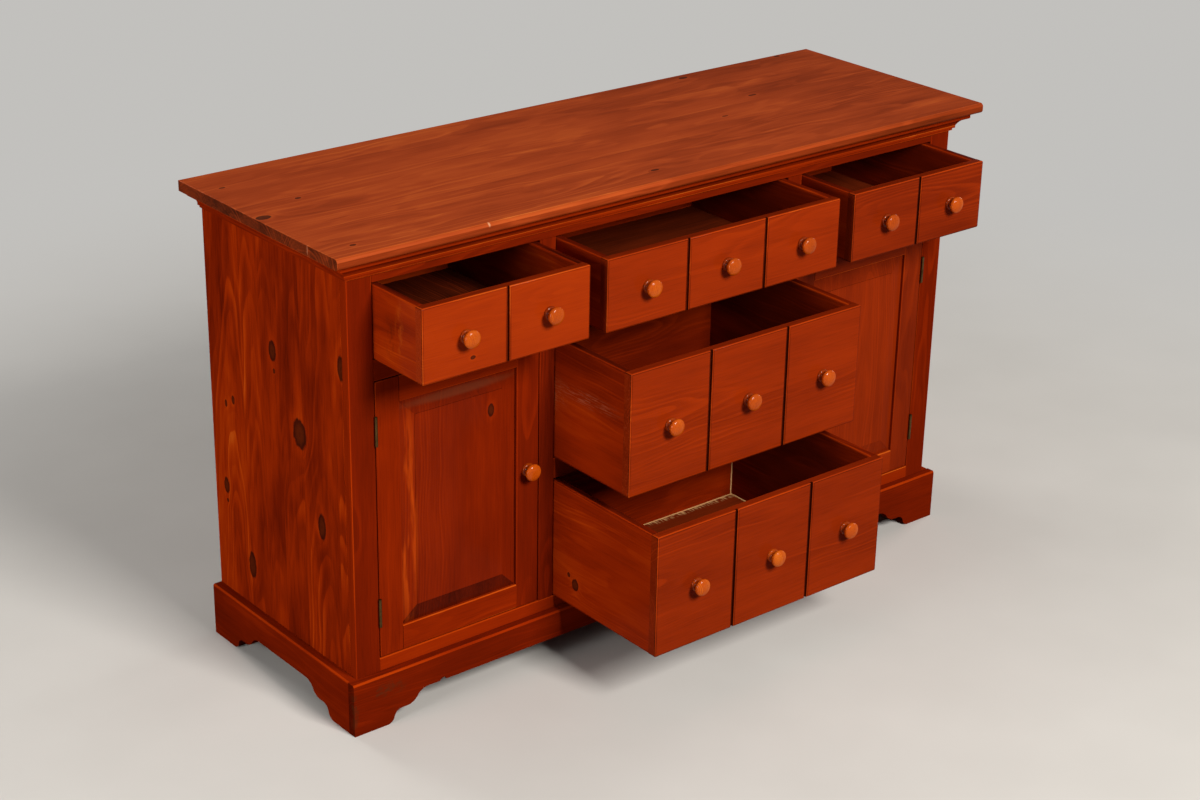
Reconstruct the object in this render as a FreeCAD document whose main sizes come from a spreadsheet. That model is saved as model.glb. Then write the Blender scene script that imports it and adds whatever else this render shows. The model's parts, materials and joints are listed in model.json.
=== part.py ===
"""Stained pine sideboard: three bays, five drawers, two raised-panel doors, a bracket plinth.

Millimetres. X runs along the front, Y runs from the front to the back, Z is up from the floor.
Places along Y are written from the front plane of the face frame. The origin is on the floor,
under the middle of the box that holds the sideboard with its drawers standing open.
"""
import FreeCAD, Part
import math
import os
import Sketcher

DIMENSIONS = (
    ("case_width", 1436, "across the outer stiles"),
    ("case_depth", 463, "face frame to back edge"),
    ("overall_height", 914, "floor to the face of the top"),
    ("top_thickness", 20, "edge-glued top board"),
    ("top_front_overhang", 45, "top board past the face frame"),
    ("top_end_overhang", 44, "top board past each side"),
    ("top_nose_radius", 7, "rounding along the front edge"),
    ("stock", 19, "planed thickness of frame, panel and drawer fronts"),
    ("groove_width", 6, "grooves for panels, in doors"),
    ("groove_depth", 9, "grooves for panels, in doors"),
    ("fit_gap", 0.2, "play in a wood joint"),
    ("plinth_height", 104, "floor to the plinth's ledge"),
    ("plinth_thickness", 18, "plinth boards, laid on the case"),
    ("plinth_edge_radius", 4, "rounding along the ledge"),
    ("foot_length", 70, "flat of each bracket foot, from the plinth's corner"),
    ("scroll_step", 25, "rise of each of the two curls of a foot"),
    ("scroll_first_run", 31, "length of the lower curl"),
    ("scroll_shelf", 12, "flat between the curls"),
    ("scroll_second_run", 46, "length of the upper curl"),
    ("notch_offset", 193, "corner to the small cusp of the front apron"),
    ("notch_width", 14, "cusp of the front apron"),
    ("notch_depth", 5.5, "cusp of the front apron"),
    ("case_floor_clearance", 60, "floor to the side panels, bottom rail and rear stretcher"),
    ("outer_stile_width", 50.5, "face frame"),
    ("inner_stile_width", 33.5, "face frame"),
    ("center_opening_width", 560, "between the inner stiles"),
    ("bottom_rail_top", 128.5, "floor of the cupboards and of the bottom drawer"),
    ("bottom_opening_height", 242.5, "bottom drawer"),
    ("lower_rail_height", 41, "centre rail under the middle drawer"),
    ("middle_opening_height", 240, "middle drawer"),
    ("upper_rail_height", 50, "centre rail under the top drawer"),
    ("top_opening_height", 139, "shallow drawers"),
    ("bay_rail_height", 39, "rail over each door"),
    ("tenon_thickness", 8, "face frame tenons"),
    ("tenon_length", 15, "face frame tenons"),
    ("tenon_shoulder", 6, "face frame tenons, above and below"),
    ("moulding_height", 38, "bed moulding"),
    ("moulding_projection", 28, "bed moulding"),
    ("moulding_fillet", 4, "bed moulding's lower fillet, out from the case"),
    ("moulding_fillet_height", 5.5, "bed moulding's lower fillet"),
    ("moulding_lip", 8, "foot of the cove, out from the case"),
    ("moulding_cove_foot", 10, "foot of the cove, over the moulding's foot"),
    ("moulding_cove_radius", 26, "bed moulding"),
    ("moulding_cove_head", 12.5, "head of the cove, under the top board"),
    ("moulding_quirk", 1.3, "step from the cove to the nose"),
    ("moulding_nose_low_radius", 2.4, "bed moulding"),
    ("moulding_nose_drop", 10, "flat of the nose starts this far under the top board"),
    ("moulding_nose_radius", 3.5, "bed moulding"),
    ("mitre_overshoot", 2, "mitring cuts run this far past the moulding"),
    ("bottom_thickness", 18, "bottom board"),
    ("dado_depth", 6, "housings in the side panels"),
    ("back_thickness", 6, "plywood back"),
    ("back_rabbet", 9.5, "side panel rabbet that takes the back"),
    ("shelf_thickness", 16, "cupboard shelves"),
    ("shelf_top", 400, "floor to the shelf's face"),
    ("shelf_setback", 80, "shelf's front edge behind the face"),
    ("cleat_size", 19, "square shelf cleats"),
    ("runner_height", 20, "drawer runners and guides"),
    ("runner_reach", 20, "runner past the edge of its opening"),
    ("runner_end", 440, "runners end this far behind the face"),
    ("stop_width", 14, "blocks that stop a shut drawer"),
    ("block_width", 38, "plinth corner blocks, across"),
    ("block_length", 32, "plinth corner blocks, front to back"),
    ("drawer_side_gap", 2, "drawer front to stile"),
    ("drawer_low_gap", 0.4, "drawer to the rail that it runs on"),
    ("drawer_top_gap", 3, "drawer front to the rail above"),
    ("drawer_length", 420, "drawer front to the ends of its sides"),
    ("drawer_side_thickness", 16, "drawer sides"),
    ("drawer_back_thickness", 14, "drawer back"),
    ("drawer_back_inset", 10, "drawer back to the ends of the sides"),
    ("drawer_back_drop", 6, "drawer back under the rim"),
    ("drawer_bottom_thickness", 5, "plywood drawer bottom"),
    ("drawer_bottom_lift", 10, "drawer bottom over the lower edge"),
    ("drawer_groove_depth", 6, "grooves for the bottom, housings and tongues"),
    ("drawer_tongue", 7, "thickness of the tongue on a drawer side"),
    ("tongue_stop", 12, "tongue ends this far under the rim"),
    ("false_gap_width", 5.5, "groove between two false fronts"),
    ("false_gap_depth", 5, "groove between two false fronts"),
    ("left_drawer_open", 142, "drawn out at rest"),
    ("right_drawer_open", 142, "drawn out at rest"),
    ("top_drawer_open", 142, "drawn out at rest"),
    ("middle_drawer_open", 212, "drawn out at rest"),
    ("bottom_drawer_open", 295, "drawn out at rest"),
    ("door_gap", 2, "door to frame, at the sides"),
    ("door_low_gap", 2.5, "door to the bottom rail"),
    ("door_top_gap", 2, "door to the rail above"),
    ("door_stile_width", 49, "door frame"),
    ("door_rail_height", 48, "door frame"),
    ("panel_play", 1.5, "raised panel in its grooves, each way"),
    ("panel_tongue", 4.5, "raised panel at its edge"),
    ("panel_bevel", 32, "raised panel, visible bevel"),
    ("panel_bevel_rise", 6, "raised panel"),
    ("panel_field_step", 1, "raised panel, quirk round the field"),
    ("knob_radius", 16.2, "turned knob"),
    ("knob_projection", 25, "turned knob"),
    ("knob_rim_height", 16.2, "knob's widest ring over the wood"),
    ("knob_collar_radius", 13.1, "ring where the knob meets the wood"),
    ("knob_collar_edge", 2.6, "collar's straight edge"),
    ("knob_collar_round", 3.6, "collar's rounding, up to the neck"),
    ("knob_neck_radius", 9.4, "where the neck leaves the collar"),
    ("knob_neck_foot", 5.4, "where the neck leaves the collar, over the wood"),
    ("knob_neck_bend", 4, "hollow of the neck"),
    ("knob_head_radius", 11, "where the neck meets the head"),
    ("knob_head_foot", 10.2, "where the neck meets the head, over the wood"),
    ("knob_shoulder_inset", 1.7, "head's lower edge inside its rim"),
    ("knob_shoulder_drop", 4, "head's lower edge under its rim"),
    ("knob_shoulder_round", 2.6, "from the head's lower edge to its rim"),
    ("knob_tenon_radius", 4.7, "turned on the knob, glued into the wood"),
    ("knob_tenon_length", 14, "turned on the knob"),
    ("door_knob_height", 407, "floor to the centre of a door knob"),
    ("hinge_length", 54, "brass butt hinge"),
    ("hinge_offset", 90, "hinge centre to the nearer end of the door"),
    ("hinge_leaf", 1.2, "leaf thickness"),
    ("hinge_leaf_width", 15, "leaf behind the face"),
    ("hinge_mortise", 0.5, "leaf let into each edge"),
    ("hinge_barrel_radius", 2.8, "knuckles"),
    ("hinge_pin_radius", 1.2, "pin"),
    ("hinge_running_gap", 0.05, "pin in its knuckles"),
    ("hinge_pin_forward", 3, "pin's axis in front of the face"),
    ("hinge_knuckle_gap", 0.2, "between two knuckles"),
    ("hinge_button_radius", 2.2, "on each end of the pin"),
    ("hinge_button_height", 1, "on each end of the pin"),
    ("catch_offset", 45, "inner stile's edge to the catch"),
    ("catch_width", 40, "door catch"),
    ("catch_height", 35, "door catch"),
    ("catch_depth", 14, "door catch"),
    ("catch_drop", 18, "catch under the rail over the door"),
    ("strike_thickness", 1, "plate on the door"),
    ("strike_height", 12, "plate on the door"),
)

doc = FreeCAD.newDocument("Sideboard")
sheet = doc.addObject("Spreadsheet::Sheet", "Dimensions")
pieces = []


class Size:
    """A length that knows both its number and the sheet formula that gives it."""

    def __init__(self, number, formula=None):
        self.number = float(number)
        self.formula = formula or f"({self.number!r})"

    def joined(self, sign, other, number):
        return Size(number, f"({self.formula} {sign} {other.formula})")

    def __add__(self, other):
        other = as_size(other)
        return self.joined("+", other, self.number + other.number)

    def __sub__(self, other):
        other = as_size(other)
        return self.joined("-", other, self.number - other.number)

    def __mul__(self, other):
        other = as_size(other)
        return self.joined("*", other, self.number * other.number)

    def __truediv__(self, other):
        other = as_size(other)
        return self.joined("/", other, self.number / other.number)

    def __rsub__(self, other):
        return as_size(other) - self

    def __neg__(self):
        return self * -1

    __radd__ = __add__
    __rmul__ = __mul__


def as_size(value):
    return value if isinstance(value, Size) else Size(value)


class Dimensions:
    """The sheet's cells by name, each as a Size."""

    def __init__(self):
        for row, (alias, number, note) in enumerate(DIMENSIONS, start=1):
            sheet.set(f"A{row}", alias)
            sheet.set(f"B{row}", str(number))
            sheet.set(f"C{row}", note)
            sheet.setAlias(f"B{row}", alias)
            setattr(self, alias, Size(number, f"Dimensions.{alias}"))


def bind(thing, name, size):
    thing.setExpression(name, as_size(size).formula)


def place(thing, x, y, z):
    """Puts a solid's own origin at a point whose y is measured back from the frame's face."""
    bind(thing, "Placement.Base.x", x)
    bind(thing, "Placement.Base.y", FRONT + y)
    bind(thing, "Placement.Base.z", z)


def box(name, x, y, z):
    """A box between low and high places along each axis."""
    solid = doc.addObject("Part::Box", name)
    bind(solid, "Length", as_size(x[1]) - x[0])
    bind(solid, "Width", as_size(y[1]) - y[0])
    bind(solid, "Height", as_size(z[1]) - z[0])
    place(solid, x[0], y[0], z[0])
    return solid


def cylinder(name, radius, length, x, y, z):
    """An upright cylinder."""
    solid = doc.addObject("Part::Cylinder", name)
    bind(solid, "Radius", radius)
    bind(solid, "Height", length)
    place(solid, x, y, z)
    return solid


def bored(name, radius, depth, x, y, z):
    """A cylinder from a point on a face towards the back, to drill with."""
    solid = cylinder(name, radius, depth, x, y, z)
    solid.Placement.Rotation = FreeCAD.Rotation(FreeCAD.Vector(1, 0, 0), -90)
    return solid


def compound(name, solids):
    whole = doc.addObject("Part::Compound", name)
    whole.Links = list(solids)
    return whole


def cut(name, base, tools):
    result = doc.addObject("Part::Cut", name)
    result.Base = base
    result.Tool = tools[0] if len(tools) == 1 else compound(f"{name}_tools", tools)
    return result


def fuse(name, solids):
    result = doc.addObject("Part::MultiFuse", name)
    result.Shapes = list(solids)
    result.Refine = True
    return result


def mirrored(name, source):
    """The same piece for the other end of the case."""
    result = doc.addObject("Part::Mirroring", name)
    result.Source = source
    result.Normal = FreeCAD.Vector(1, 0, 0)
    return result


def piece(name, *solids):
    """Keeps a sub-part under its name; like solids stay together as one sub-part."""
    whole = solids[0] if len(solids) == 1 else compound(name, solids)
    whole.Label = name
    pieces.append(whole)
    return whole


def across(side, near, far):
    """Low and high x of something between two distances from the middle, left (-1) or right (1)."""
    return (-as_size(far), -as_size(near)) if side < 0 else (as_size(near), as_size(far))


def named(side):
    return "left" if side < 0 else "right"


def plane_of(body, role):
    return [feature for feature in body.Origin.OriginFeatures if feature.Role == role][0]


def arc_through(start, end, radius):
    """The smaller arc between two points; a positive radius keeps its centre on the left."""
    chord = end - start
    middle = (start + end) * 0.5
    left = FreeCAD.Vector(-chord.y, chord.x, 0).normalize()
    reach = math.sqrt(max(radius * radius - chord.Length * chord.Length / 4, 0))
    crown = middle - left * math.copysign(abs(radius) - reach, radius)
    return Part.Arc(start, crown, end)


def sketch(body, name, role, points, lift=0):
    """A closed outline on one of the body's own planes.

    Each point is (across, up) or (across, up, radius); a radius makes the edge that leaves the
    point an arc, with its centre on the left of the way round where the radius is positive.
    """
    outline = body.newObject("Sketcher::SketchObject", name)
    outline.AttachmentSupport = [(plane_of(body, role), "")]
    outline.MapMode = "FlatFace"
    bind(outline, "AttachmentOffset.Base.z", lift)
    corners = [tuple(as_size(value) for value in point) for point in points]
    places = [FreeCAD.Vector(corner[0].number, corner[1].number, 0) for corner in corners]
    ends = []
    for number, corner in enumerate(corners):
        start, end = places[number], places[(number + 1) % len(places)]
        if len(corner) == 3:
            outline.addGeometry(arc_through(start, end, corner[2].number), False)
        else:
            outline.addGeometry(Part.LineSegment(start, end), False)
        turns_back = len(corner) == 3 and corner[2].number < 0
        ends.append((2, 1) if turns_back else (1, 2))
    for number, corner in enumerate(corners):
        following = (number + 1) % len(corners)
        join = ("Coincident", number, ends[number][1], following, ends[following][0])
        outline.addConstraint(Sketcher.Constraint(*join))
        first = ends[number][0]
        for kind, size in zip(("DistanceX", "DistanceY"), corner):
            rule = Sketcher.Constraint(kind, -1, 1, number, first, size.number)
            bind(outline, f"Constraints[{outline.addConstraint(rule)}]", size)
        if len(corner) == 3:
            bend = corner[2] if corner[2].number > 0 else -corner[2]
            rule = Sketcher.Constraint("Radius", number, bend.number)
            bind(outline, f"Constraints[{outline.addConstraint(rule)}]", bend)
    return outline


def rectangle(width, height):
    """Corners of a rectangle about the sketch's origin."""
    half, rise = width / 2, height / 2
    return ((-half, -rise), (half, -rise), (half, rise), (-half, rise))


def pad(body, name, profile, length, backwards=False):
    feature = body.newObject("PartDesign::Pad", name)
    feature.Profile = profile
    feature.Reversed = backwards
    bind(feature, "Length", length)
    return feature


def turned_about_z(body, degrees):
    body.Placement.Rotation = FreeCAD.Rotation(FreeCAD.Vector(0, 0, 1), degrees)


D = Dimensions()

# Places that the pieces share
FRONT = (D.bottom_drawer_open + D.knob_projection - D.case_depth) / 2
CASE_HALF = D.case_width / 2
PANEL_INNER = CASE_HALF - D.stock
OUTER_EDGE = CASE_HALF - D.outer_stile_width
CENTER_EDGE = D.center_opening_width / 2
INNER_EDGE = CENTER_EDGE + D.inner_stile_width
PARTITION_NEAR = CENTER_EDGE + (D.inner_stile_width - D.stock) / 2
PARTITION_FAR = PARTITION_NEAR + D.stock
TOP_UNDERSIDE = D.overall_height - D.top_thickness
BACK_FACE = D.case_depth - D.back_thickness
FLOOR_TOP = D.bottom_rail_top
FLOOR_UNDERSIDE = FLOOR_TOP - D.bottom_thickness
LOWER_RAIL = FLOOR_TOP + D.bottom_opening_height
MIDDLE_SILL = LOWER_RAIL + D.lower_rail_height
UPPER_RAIL = MIDDLE_SILL + D.middle_opening_height
TOP_SILL = UPPER_RAIL + D.upper_rail_height
TOP_RAIL = TOP_SILL + D.top_opening_height
BAY_RAIL = TOP_SILL - D.bay_rail_height
DOOR_EDGES = (INNER_EDGE + D.door_gap, OUTER_EDGE - D.door_gap)
DOOR_HEIGHTS = (FLOOR_TOP + D.door_low_gap, BAY_RAIL - D.door_top_gap)
CATCH_NEAR = INNER_EDGE + D.catch_offset
HINGE_AXIS = OUTER_EDGE - D.door_gap / 2
SIDES = (-1, 1)


def make_top():
    """The edge-glued top, drawn in profile so that its front edge is rounded."""
    nose, front, back = D.top_nose_radius, -D.top_front_overhang, D.case_depth
    body = doc.addObject("PartDesign::Body", "TopBody")
    profile = sketch(body, "TopProfile", "YZ_Plane", (
        (front + nose, 0), (back, 0), (back, D.top_thickness),
        (front + nose, D.top_thickness, nose), (front, D.top_thickness - nose),
        (front, nose, nose)))
    width = D.case_width + 2 * D.top_end_overhang
    pad(body, "TopPad", profile, width)
    place(body, -width / 2, 0, TOP_UNDERSIDE)
    piece("top_board", body)


def moulding(name, length, far_mitre):
    """Bed moulding: fillets, a cove and a rounded nose, cut to length by a plan with mitred ends."""
    reach, height, over = D.moulding_projection, D.moulding_height, D.mitre_overshoot
    cove_head, nose = height - D.moulding_cove_head, D.moulding_nose_radius
    run = doc.addObject("PartDesign::Body", f"{name}_run")
    profile = sketch(run, f"{name}_profile", "YZ_Plane", (
        (0, 0), (D.moulding_fillet, 0), (D.moulding_fillet, D.moulding_fillet_height),
        (D.moulding_lip, D.moulding_fillet_height),
        (D.moulding_lip, D.moulding_cove_foot, -D.moulding_cove_radius),
        (reach - nose, cove_head),
        (reach - nose + D.moulding_quirk, cove_head, D.moulding_nose_low_radius),
        (reach, height - D.moulding_nose_drop), (reach, height - nose, nose),
        (reach - nose, height), (0, height)), -over)
    pad(run, f"{name}_length", profile, length + 2 * over)
    plan = doc.addObject("PartDesign::Body", f"{name}_plan")
    far_inner, far_outer = (length - reach - over, length + over) if far_mitre else (length, length)
    mitres = sketch(plan, f"{name}_mitres", "XY_Plane", (
        (reach + over, -over), (far_inner, -over), (far_outer, reach + over), (-over, reach + over)), -over)
    pad(plan, f"{name}_height", mitres, height + 2 * over)
    mitred = doc.addObject("Part::Common", name)
    mitred.Base = run
    mitred.Tool = plan
    return mitred


def make_mouldings():
    """The front length and its two returns, which meet in mitres at the front corners."""
    reach, foot = D.moulding_projection, TOP_UNDERSIDE - D.moulding_height
    length = D.case_width + 2 * reach
    front = moulding("front_moulding", length, True)
    turned_about_z(front, 180)
    place(front, length / 2, 0, foot)
    piece("front_moulding", front)
    left = moulding("left_moulding", D.case_depth + reach, False)
    turned_about_z(left, 90)
    place(left, -CASE_HALF, -reach, foot)
    piece("return_mouldings", left, mirrored("right_moulding", left))


def make_side_panel(side):
    """A side of the case, with a housing for the bottom board and a rabbet for the back."""
    name = f"{named(side)}_side_panel"
    whole = box(f"{name}_board", across(side, PANEL_INNER, CASE_HALF), (D.stock, D.case_depth),
                (D.case_floor_clearance, TOP_UNDERSIDE))
    housing = box(f"{name}_housing", across(side, PANEL_INNER, PANEL_INNER + D.dado_depth),
                  (D.stock, BACK_FACE), (FLOOR_UNDERSIDE, FLOOR_TOP))
    rabbet = box(f"{name}_rabbet", across(side, PANEL_INNER, PANEL_INNER + D.back_rabbet),
                 (BACK_FACE, D.case_depth), (FLOOR_UNDERSIDE, TOP_UNDERSIDE))
    piece(name, cut(name, whole, (housing, rabbet)))


def make_case():
    """Bottom board, partitions, back, shelves with their cleats, and the rear stretcher."""
    housed = PANEL_INNER + D.dado_depth - D.fit_gap
    piece("bottom_board", box("bottom_board", (-housed, housed), (D.stock, BACK_FACE),
                              (FLOOR_UNDERSIDE, FLOOR_TOP)))
    piece("partitions", *(
        box(f"{named(side)}_partition", across(side, PARTITION_NEAR, PARTITION_FAR),
            (D.stock, BACK_FACE), (FLOOR_TOP, TOP_UNDERSIDE)) for side in SIDES))
    back_half = PANEL_INNER + D.back_rabbet - D.fit_gap
    piece("back_panel", box("back_panel", (-back_half, back_half), (BACK_FACE, D.case_depth),
                            (FLOOR_UNDERSIDE, TOP_UNDERSIDE)))
    shelf_underside = D.shelf_top - D.shelf_thickness
    depth = (D.shelf_setback, BACK_FACE - D.fit_gap)
    piece("shelves", *(
        box(f"{named(side)}_shelf", across(side, PARTITION_FAR + D.fit_gap, PANEL_INNER - D.fit_gap),
            depth, (shelf_underside, D.shelf_top)) for side in SIDES))
    cleat_heights = (shelf_underside - D.cleat_size, shelf_underside)
    reaches = {"inner": (PARTITION_FAR, PARTITION_FAR + D.cleat_size),
               "outer": (PANEL_INNER - D.cleat_size, PANEL_INNER)}
    piece("shelf_cleats", *(
        box(f"{named(side)}_{where}_cleat", across(side, *reach), depth, cleat_heights)
        for side in SIDES for where, reach in reaches.items()))
    piece("rear_stretcher", box("rear_stretcher", (-PANEL_INNER, PANEL_INNER),
                                (BACK_FACE - D.stock, BACK_FACE),
                                (D.case_floor_clearance, FLOOR_UNDERSIDE)))


def tenon_depths():
    """Front and back of the tenons, in the middle of the frame's thickness."""
    front = (D.stock - D.tenon_thickness) / 2
    return (front, front + D.tenon_thickness)


def rail(name, x, z):
    """A rail of the face frame, with a tenon on each end."""
    inner = (z[0] + D.tenon_shoulder, z[1] - D.tenon_shoulder)
    reach = D.tenon_length - D.fit_gap
    return fuse(name, (box(f"{name}_board", x, (0, D.stock), z),
                       box(f"{name}_tenons", (x[0] - reach, x[1] + reach), tenon_depths(), inner)))


def mortise(name, x, z):
    """The hole for a tenon that enters along X."""
    return box(name, x, tenon_depths(), (z[0] + D.tenon_shoulder, z[1] - D.tenon_shoulder))


def make_face_frame():
    """Stiles and rails, joined by mortises and tenons."""
    bottom = (D.case_floor_clearance, FLOOR_TOP)
    lower = (LOWER_RAIL, MIDDLE_SILL)
    upper = (UPPER_RAIL, TOP_SILL)
    bay = (BAY_RAIL, TOP_SILL)
    top = (TOP_RAIL, TOP_UNDERSIDE)
    sunk = D.tenon_length
    outer_stiles, inner_stiles = [], []
    for side in SIDES:
        name = named(side)
        board = box(f"{name}_outer_board", across(side, OUTER_EDGE, CASE_HALF), (0, D.stock),
                    (0, TOP_UNDERSIDE))
        holes = [mortise(f"{name}_outer_mortise_{number}", across(side, OUTER_EDGE, OUTER_EDGE + sunk), z)
                 for number, z in enumerate((bottom, bay, top))]
        holes += [box(f"{name}_frame_leaf_mortise_{number}",
                      across(side, OUTER_EDGE, OUTER_EDGE + D.hinge_mortise),
                      (0, D.hinge_leaf_width + D.fit_gap), hinge_span(height))
                  for number, height in enumerate(hinge_heights())]
        outer_stiles.append(cut(f"{name}_outer_stile", board, holes))
        board = box(f"{name}_inner_board", across(side, CENTER_EDGE, INNER_EDGE), (0, D.stock),
                    (FLOOR_TOP, TOP_RAIL))
        ends = box(f"{name}_inner_tenons", stile_tenon(side), tenon_depths(),
                   (FLOOR_TOP - sunk + D.fit_gap, TOP_RAIL + sunk - D.fit_gap))
        holes = [mortise(f"{name}_center_mortise_{number}",
                         across(side, CENTER_EDGE, CENTER_EDGE + sunk), z)
                 for number, z in enumerate((lower, upper))]
        holes.append(mortise(f"{name}_bay_mortise", across(side, INNER_EDGE - sunk, INNER_EDGE), bay))
        whole = fuse(f"{name}_inner_whole", (board, ends))
        inner_stiles.append(cut(f"{name}_inner_stile", whole, holes))
    piece("outer_stiles", *outer_stiles)
    piece("inner_stiles", *inner_stiles)
    for name, z, hole in (("top_rail", top, (TOP_RAIL, TOP_RAIL + sunk)),
                          ("bottom_rail", bottom, (FLOOR_TOP - sunk, FLOOR_TOP))):
        whole = rail(f"{name}_whole", (-OUTER_EDGE, OUTER_EDGE), z)
        holes = [box(f"{name}_mortise_{named(side)}", stile_tenon(side), tenon_depths(), hole)
                 for side in SIDES]
        piece(name, cut(name, whole, holes))
    bay_rails = [rail(f"{named(side)}_bay_rail", across(side, INNER_EDGE, OUTER_EDGE), bay)
                 for side in SIDES]
    piece("middle_rails", *bay_rails, rail("lower_center_rail", (-CENTER_EDGE, CENTER_EDGE), lower),
          rail("upper_center_rail", (-CENTER_EDGE, CENTER_EDGE), upper))


def stile_tenon(side):
    """Low and high x of the tenon on each end of an inner stile."""
    return across(side, CENTER_EDGE + D.tenon_shoulder, INNER_EDGE - D.tenon_shoulder)


def curl(start, rise, run, way):
    """Two tangent arcs that climb from one level to the next; way is 1 rightwards, -1 leftwards."""
    bend = (rise * rise + run * run) / (4 * rise)
    across_place, up = start
    return ((across_place, up, bend * way),
            (across_place + run * way / 2, up + rise / 2, bend * -way))


def foot_scroll(corner, way):
    """The scroll of a bracket foot, from the floor up to the apron; way points to the apron."""
    lower = curl((corner + D.foot_length * way, 0), D.scroll_step, D.scroll_first_run, way)
    shelf = corner + (D.foot_length + D.scroll_first_run) * way
    upper = curl((shelf + D.scroll_shelf * way, D.scroll_step), D.scroll_step,
                 D.scroll_second_run, way)
    apron = shelf + (D.scroll_shelf + D.scroll_second_run) * way
    return lower + ((shelf, D.scroll_step),) + upper + ((apron, 2 * D.scroll_step),)


def reversed_path(points):
    """The same outline walked the other way: each arc moves to its other end and changes sides."""
    turned = []
    for number in range(len(points) - 1, -1, -1):
        radius = points[number - 1][2:] if number > 0 else ()
        turned.append(points[number][:2] + tuple(-value for value in radius))
    return tuple(turned)


def cusp(middle):
    """A small round notch in the front apron, walked from left to right."""
    half, apron = D.notch_width / 2, 2 * D.scroll_step
    bend = (half * half + D.notch_depth * D.notch_depth) / (2 * D.notch_depth)
    return ((middle - half, apron, -bend), (middle + half, apron))


def plinth_board(name, length, cusps):
    """A plinth board seen from its face: feet at both ends and an apron between."""
    body = doc.addObject("PartDesign::Body", f"{name}_body")
    left, right = foot_scroll(as_size(0), 1), foot_scroll(length, -1)
    apron = tuple(point for middle in cusps for point in cusp(middle))
    outline = ((0, 0),) + left + apron + reversed_path(right) + (
        (length, 0), (length, D.plinth_height), (0, D.plinth_height))
    pad(body, f"{name}_pad", sketch(body, f"{name}_outline", "XZ_Plane", outline),
        D.plinth_thickness)
    return body


def eased(name, board, outer_face, along, lengthwise):
    """Rounds the plinth's upper outer edge by cutting away what lies outside a quarter round."""
    radius = D.plinth_edge_radius
    inward = radius if outer_face.number < 0 else -radius
    bounds = sorted((outer_face, outer_face + inward), key=lambda size: size.number)
    height = (D.plinth_height - radius, D.plinth_height)
    x, y = (along, bounds) if lengthwise else (bounds, along)
    waste = box(f"{name}_waste", x, y, height)
    rod = doc.addObject("Part::Cylinder", f"{name}_rod")
    bind(rod, "Radius", radius)
    bind(rod, "Height", along[1] - along[0])
    axis = FreeCAD.Vector(0, 1, 0) if lengthwise else FreeCAD.Vector(1, 0, 0)
    rod.Placement.Rotation = FreeCAD.Rotation(axis, 90 if lengthwise else -90)
    center = outer_face + inward
    spot = (along[0], center) if lengthwise else (center, along[0])
    place(rod, *spot, height[0])
    return cut(name, board, (cut(f"{name}_chip", waste, (rod,)),))


def make_plinth():
    """Scroll-cut front and side boards, laid on the outside of the case, and corner blocks."""
    thick = D.plinth_thickness
    length = D.case_width + 2 * thick
    front = plinth_board("plinth_front", length,
                         (D.notch_offset, length - D.notch_offset))
    place(front, -length / 2, 0, 0)
    piece("plinth_front", eased("plinth_front", front, -thick, (-length / 2, length / 2), True))
    left = plinth_board("plinth_left", D.case_depth + thick, ())
    shortened = box("plinth_left_lap", (-CASE_HALF - thick, -CASE_HALF), (-thick, 0),
                    (0, D.plinth_height))
    turned_about_z(left, -90)
    place(left, -CASE_HALF, D.case_depth, 0)
    butted = cut("plinth_left_butted", left, (shortened,))
    side = eased("plinth_left", butted, -CASE_HALF - thick, (as_size(0), D.case_depth), False)
    piece("plinth_left", side)
    piece("plinth_right", mirrored("plinth_right", side))
    rows = ((D.stock, D.stock + D.block_length), (D.case_depth - D.block_length, D.case_depth))
    piece("corner_blocks", *(
        box(f"{named(side)}_block_{number}", across(side, CASE_HALF - D.block_width, CASE_HALF), y,
            (0, D.case_floor_clearance)) for side in SIDES for number, y in enumerate(rows)))


def make_drawer_supports():
    """Runners under the drawers, guides beside them, kickers over the top row, and back stops."""
    depth = (D.stock, D.runner_end)
    columns = []
    for side in SIDES:
        columns.append((f"{named(side)}_outer", across(side, OUTER_EDGE - D.runner_reach, PANEL_INNER),
                        across(side, OUTER_EDGE, PANEL_INNER),
                        across(side, OUTER_EDGE - D.drawer_side_gap - D.stop_width,
                               OUTER_EDGE - D.drawer_side_gap), (TOP_SILL,)))
        columns.append((f"{named(side)}_inner", across(side, PARTITION_FAR, INNER_EDGE + D.runner_reach),
                        across(side, PARTITION_FAR, INNER_EDGE),
                        across(side, INNER_EDGE + D.drawer_side_gap,
                               INNER_EDGE + D.drawer_side_gap + D.stop_width), (TOP_SILL,)))
        columns.append((f"{named(side)}_center", across(side, CENTER_EDGE - D.runner_reach, PARTITION_NEAR),
                        across(side, CENTER_EDGE, PARTITION_NEAR),
                        across(side, CENTER_EDGE - D.drawer_side_gap - D.stop_width,
                               CENTER_EDGE - D.drawer_side_gap), (FLOOR_TOP, MIDDLE_SILL, TOP_SILL)))
    runners, guides, kickers, stops = [], [], [], []
    for name, runner_x, guide_x, stop_x, sills in columns:
        kickers.append(box(f"{name}_kicker", runner_x, depth, (TOP_RAIL, TOP_UNDERSIDE)))
        for number, sill in enumerate(sills):
            if sill is not FLOOR_TOP:
                runners.append(box(f"{name}_runner_{number}", runner_x, depth,
                                   (sill - D.runner_height, sill)))
            guides.append(box(f"{name}_guide_{number}", guide_x, depth,
                              (sill, sill + D.runner_height)))
            stops.append(box(f"{name}_stop_{number}", stop_x,
                             (D.drawer_length + D.drawer_low_gap, D.runner_end),
                             (sill, sill + D.runner_height)))
    piece("drawer_runners", *runners)
    piece("drawer_guides_and_stops", *guides, *stops)
    piece("kickers", *kickers)


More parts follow.
